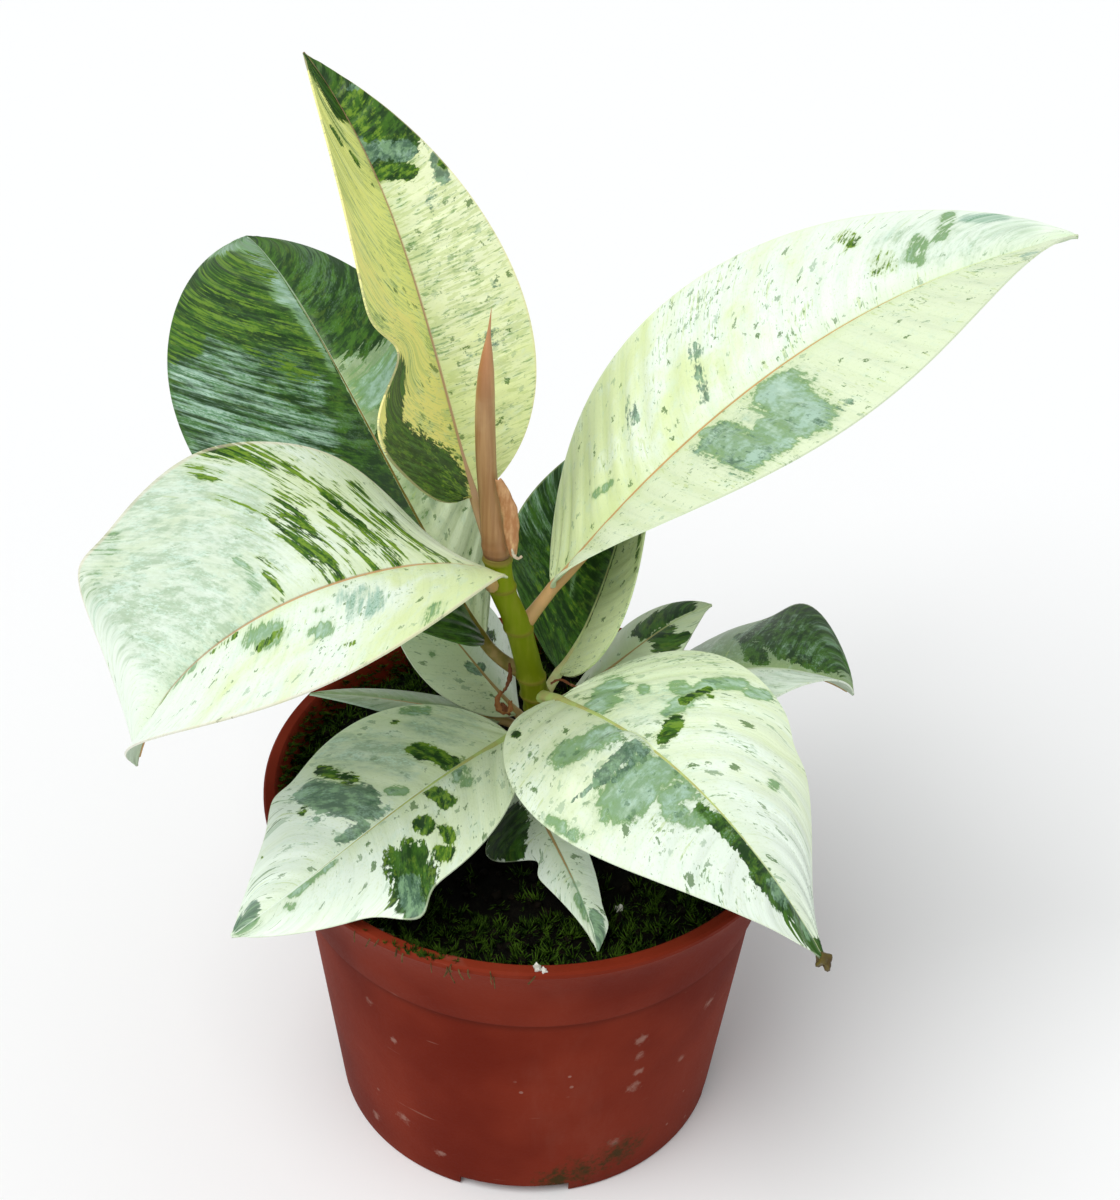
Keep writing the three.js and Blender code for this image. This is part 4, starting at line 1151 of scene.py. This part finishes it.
def cutFrom(piece, cutter):  # cuts a closed bmesh out of a piece
    bmesh.ops.scale(cutter, vec=(mm, mm, mm), verts=cutter.verts)
    mesh = bpy.data.meshes.new("cutter")
    cutter.to_mesh(mesh)
    cutter.free()
    tool = bpy.data.objects.new("cutter", mesh)
    scene.collection.objects.link(tool)
    cut = piece.modifiers.new("cut", "BOOLEAN")
    cut.operation = "DIFFERENCE"
    cut.solver = "EXACT"
    cut.object = tool
    settle(piece)
    bpy.data.objects.remove(tool)
    bpy.data.meshes.remove(mesh)


def makePot():
    height, rim, wall, channel = pot["height"], pot["rim"], pot["wall"], pot["channel"]
    side = pot["side"]
    lip, deep, pad = pot["lipWidth"], pot["lipDepth"], pot["pad"]
    inner = [(between(side, z) - wall, z) for z in (*pot["insideHeights"], channel + wall)]
    base, foot = pot["base"], pot["base"] - pot["foot"]
    outline = [(0, 0), (pad, 0), (pad + 2, channel), (foot - 1.5, channel), (foot, 0)]
    outline += [(base - 0.5, 0), (base + 0.05, 0.5), (between(side, 4), 4)]
    outline += [(radius, z) for z, radius in side[1:]]
    outline += [(rim - 0.35, height - deep - 0.2), (rim, height - deep + 0.2)]
    outline += [(rim - 0.05, height - 0.5), (rim - 0.5, height)]
    outline += [(rim - lip + 0.5, height), (rim - lip, height - 0.4)]
    outline += [(rim - lip - 0.6, height - deep)]
    outline += inner + [(pad + 2 + wall, channel + wall), (pad + wall, wall), (0, wall)]
    shell = turned(outline, pot["sides"])
    piece = addPiece("pot_shell", shell, [potMaterial()], ("pot",), 30)
    cutter = bmesh.new()
    for i in range(pot["notches"]):
        turn = Matrix.Rotation(math.radians(pot["firstNotch"] + 360 / pot["notches"] * i), 4, "Z")
        size = Matrix.Diagonal((3 * pot["foot"], pot["notchWidth"], 2 * channel, 1))
        place = turn @ Matrix.Translation((base, 0, 0)) @ size
        bmesh.ops.create_cube(cutter, size=1, matrix=place)
    for i in range(pot["drains"]):
        turn = Matrix.Rotation(math.tau / pot["drains"] * i, 4, "Z")
        place = turn @ Matrix.Translation((pot["drainCircle"], 0, channel))
        radius = pot["drainRadius"]
        bmesh.ops.create_cone(cutter, cap_ends=True, segments=32, radius1=radius, radius2=radius,
                              depth=4 * channel, matrix=place)
    cutFrom(piece, cutter)
    soft = piece.modifiers.new("soft edges", "BEVEL")
    soft.width = pot["softEdge"] * mm
    soft.segments = 2
    soft.limit_method = "ANGLE"
    soft.angle_limit = math.radians(40)
    settle(piece)
    piece.data.set_sharp_from_angle(angle=math.radians(30))


makePot()
print("pot made")


# Soil and moss

soil = {
    "level": 81, "lump": 0.6, "rough": 0.55, "dish": 1.2, "dishReach": 30, "gap": 0.3,
    "hole": 3.6, "holeDepth": 22, "reach": 54.2, "clear": 5, "seed": 5,
    "crumbs": 520, "crumbSize": (0.35, 1.3), "pearls": 6, "pearlSize": (0.5, 1.1),
    "rimPearls": (((2.6, -58.4, 88.2), 0.85), ((3.9, -58.9, 88.1), 0.6)),
    # colours: dark, light
    "peat": ((0.001, 0.001, 0.0005), (0.004, 0.003, 0.0015)),
    "bark": ((0.001, 0.001, 0.0005), (0.009, 0.006, 0.003)),
    "white": ((0.5, 0.48, 0.42), (0.8, 0.78, 0.72)),
    "thread": ((0.05, 0.03, 0.01), (0.16, 0.10, 0.04)),
    "threads": 16, "threadRadius": (0.1, 0.2), "threadsAt": -108, "threadSpread": 7,
}
moss = {
    "blades": 8, "bladeLength": (1.2, 4.0),
    "tufts": 650, "nearest": 8, "rimTufts": 1150, "rimNearest": 38,
    # on the wall, from one turn to the other
    "wallTufts": 1000, "wallTurns": (60, 235), "wallHeights": (80, 87), "wallLength": (1.4, 2.6),
    # a tuft that grows over the front rim
    "overTufts": 60, "overAt": -112, "overSpread": 4.5, "overReach": (55.5, 60.2),
    "overLength": (0.8, 1.8),
    "dark": (0.004, 0.017, 0.001), "light": (0.060, 0.125, 0.008),
}


def soilHeight(x, y):
    broad = math.sin(x * 0.21 + 1.3) * math.cos(y * 0.17 - 0.4)
    fine = 0.5 * math.sin(x * 0.53 - y * 0.47)
    dish = soil["dish"] * math.exp(-(x * x + y * y) / soil["dishReach"] ** 2)
    return soil["level"] + soil["lump"] * (broad + fine) - dish


def groundMaterial(name, dark, light, gloss=0.75):
    shade = Shade(name)
    place = shade.place()
    mottle = shade.noise(place, 420, 5, 0.7)
    fibre = shade.noise(place, 1500, 3, 0.6)
    colour = shade.lay(dark, light, mottle + fibre * 0.3, 0.5, 0.8)
    return shade.finish(colour, gloss, mottle, 0.5, Specular_IOR_Level=0.08)


def makeSoil():
    wall = pot["wall"] + soil["gap"]
    floor = pot["channel"] + wall
    side = [(between(pot["side"], z) - wall, z) for z in (floor, 64, 67, 71, 77, soil["level"])]
    pad = pot["pad"] + pot["wall"]
    outline = [(0, wall), (pad - soil["gap"], wall), (pad + 2, floor)]
    outline += side + [(radius, soil["level"]) for radius in range(53, -1, -1)]
    bm = turned(outline, 150)
    for vert in bm.verts:
        if vert.co.z > soil["level"] - 0.01:
            rough = soil["rough"] * noise.fractal(vert.co * 0.45, 0.9, 2.1, 4)
            vert.co.z = soilHeight(vert.co.x, vert.co.y) + rough
    piece = addPiece("soil_body", bm, [groundMaterial("soil_peat", *soil["peat"])], ("soil",))
    x, y, z = stem["foot"]
    hole = soil["hole"]
    deep = soil["holeDepth"] + 10
    place = Matrix.Translation((x, y, z - soil["holeDepth"] + deep / 2))
    cutter = bmesh.new()
    bmesh.ops.create_cone(cutter, cap_ends=True, segments=40, radius1=hole, radius2=hole,
                          depth=deep, matrix=place)
    cutFrom(piece, cutter)


def scatter(name, bm, places, material, sharpAngle=60):  # copies of one small shape at many places
    shape = bpy.data.meshes.new("shape")
    bm.to_mesh(shape)
    bm.free()
    many = bmesh.new()
    for place in places:
        one = shape.copy()
        one.transform(place)
        many.from_mesh(one)
        bpy.data.meshes.remove(one)
    bpy.data.meshes.remove(shape)
    addPiece(name, many, [material], (), sharpAngle)


def soilPlaces(dice, count, nearest, sizes, lift=0.0):  # random places on the soil, away from the stem
    places = []
    while len(places) < count:
        reach = soil["reach"] * math.sqrt(dice.random())
        turn = dice.uniform(0, math.tau)
        x, y = reach * math.cos(turn), reach * math.sin(turn)
        aside = math.hypot(x - stem["foot"][0], y - stem["foot"][1])
        if reach < nearest or aside < soil["clear"]:
            continue
        size = dice.uniform(*sizes)
        spin = Matrix.Rotation(dice.uniform(0, math.tau), 4, "Z")
        lean = Matrix.Rotation(dice.uniform(-0.4, 0.4), 4, "X")
        shift = Matrix.Translation((x, y, soilHeight(x, y) + lift * size))
        places.append(shift @ spin @ lean @ Matrix.Scale(size, 4))
    return places


def mossTuft(dice):
    bm = bmesh.new()
    for i in range(moss["blades"]):
        length = dice.uniform(0.5, 1.0)
        turn = Matrix.Rotation(dice.uniform(0, math.tau), 4, "Z")
        lean = Matrix.Rotation(dice.uniform(0.2, 1.3), 4, "Y")
        place = turn @ Matrix.Translation((dice.uniform(0, 0.35), 0, 0)) @ lean
        bmesh.ops.create_cone(bm, cap_ends=True, segments=3, radius1=0.075, radius2=0.01, depth=length,
                              matrix=place @ Matrix.Translation((0, 0, length / 2)))
    return bm


def lumpyBall(roughness, scale, shift=(0, 0, 0)):
    bm = bmesh.new()
    bmesh.ops.create_icosphere(bm, subdivisions=2, radius=1)
    for vert in bm.verts:
        vert.co *= 1 + roughness * noise.noise(vert.co * scale + Vector(shift))
    return bm


def onCircle(reach, turn, height):
    return Vector((reach * math.cos(turn), reach * math.sin(turn), height))


def makeCrumbs(dice):
    places = soilPlaces(dice, soil["crumbs"], 0, soil["crumbSize"], 0.2)
    material = groundMaterial("soil_crumb", *soil["bark"])
    scatter("soil_crumbs", lumpyBall(0.5, 1.9), places, material)
    places = soilPlaces(dice, soil["pearls"], 20, soil["pearlSize"], 0.3)
    for place, size in soil["rimPearls"]:
        places.append(Matrix.Translation(place) @ Matrix.Scale(size, 4))
    material = groundMaterial("perlite_grain", *soil["white"])
    scatter("perlite", lumpyBall(0.9, 1.8, (9, 3, 1)), places, material)


def makeMoss(dice):
    places = soilPlaces(dice, moss["tufts"], moss["nearest"], moss["bladeLength"])
    places += soilPlaces(dice, moss["rimTufts"], moss["rimNearest"], moss["bladeLength"])
    for i in range(moss["wallTufts"]):
        turn = math.radians(dice.uniform(*moss["wallTurns"]))
        height = dice.uniform(*moss["wallHeights"])
        reach = between(pot["side"], height) - pot["wall"] - 0.4
        spin = Matrix.Rotation(turn + math.pi + dice.uniform(-0.5, 0.5), 4, "Z")
        lean = Matrix.Rotation(dice.uniform(0.2, 0.7), 4, "Y")
        size = Matrix.Scale(dice.uniform(*moss["wallLength"]), 4)
        places.append(Matrix.Translation(onCircle(reach, turn, height)) @ spin @ lean @ size)
    for i in range(moss["overTufts"]):
        turn = math.radians(dice.gauss(moss["overAt"], moss["overSpread"]))
        reach = dice.uniform(*moss["overReach"])
        height = 84 + 4 * min(1, (reach - 55) / 2)
        spin = Matrix.Rotation(dice.uniform(0, 6), 4, "Z")
        size = Matrix.Scale(dice.uniform(*moss["overLength"]), 4)
        places.append(Matrix.Translation(onCircle(reach, turn, height)) @ spin @ size)
    material = groundMaterial("moss_leaf", moss["dark"], moss["light"], 0.7)
    scatter("moss", mossTuft(dice), places, material, 180)


def makeThreads(dice):  # dry roots that hang over the front rim
    threads = bmesh.new()
    for i in range(soil["threads"]):
        turn = math.radians(dice.gauss(soil["threadsAt"], soil["threadSpread"]))
        heights = (86, 88.3, 88.2, dice.uniform(84, 87.5))
        points = [onCircle(reach, turn + dice.gauss(0, 0.025), height)
                  for reach, height in zip((55.5, 57.8, 60, 61), heights)]
        path = geometry.interpolate_bezier(*points, 12)
        addTo(threads, rod(path, [dice.uniform(*soil["threadRadius"])] * 12, 0))
    addPiece("root_threads", threads, [groundMaterial("root_thread", *soil["thread"])])


makeSoil()
dice = random.Random(soil["seed"])
makeCrumbs(dice)
makeMoss(dice)
makeThreads(dice)
print("soil and moss made")
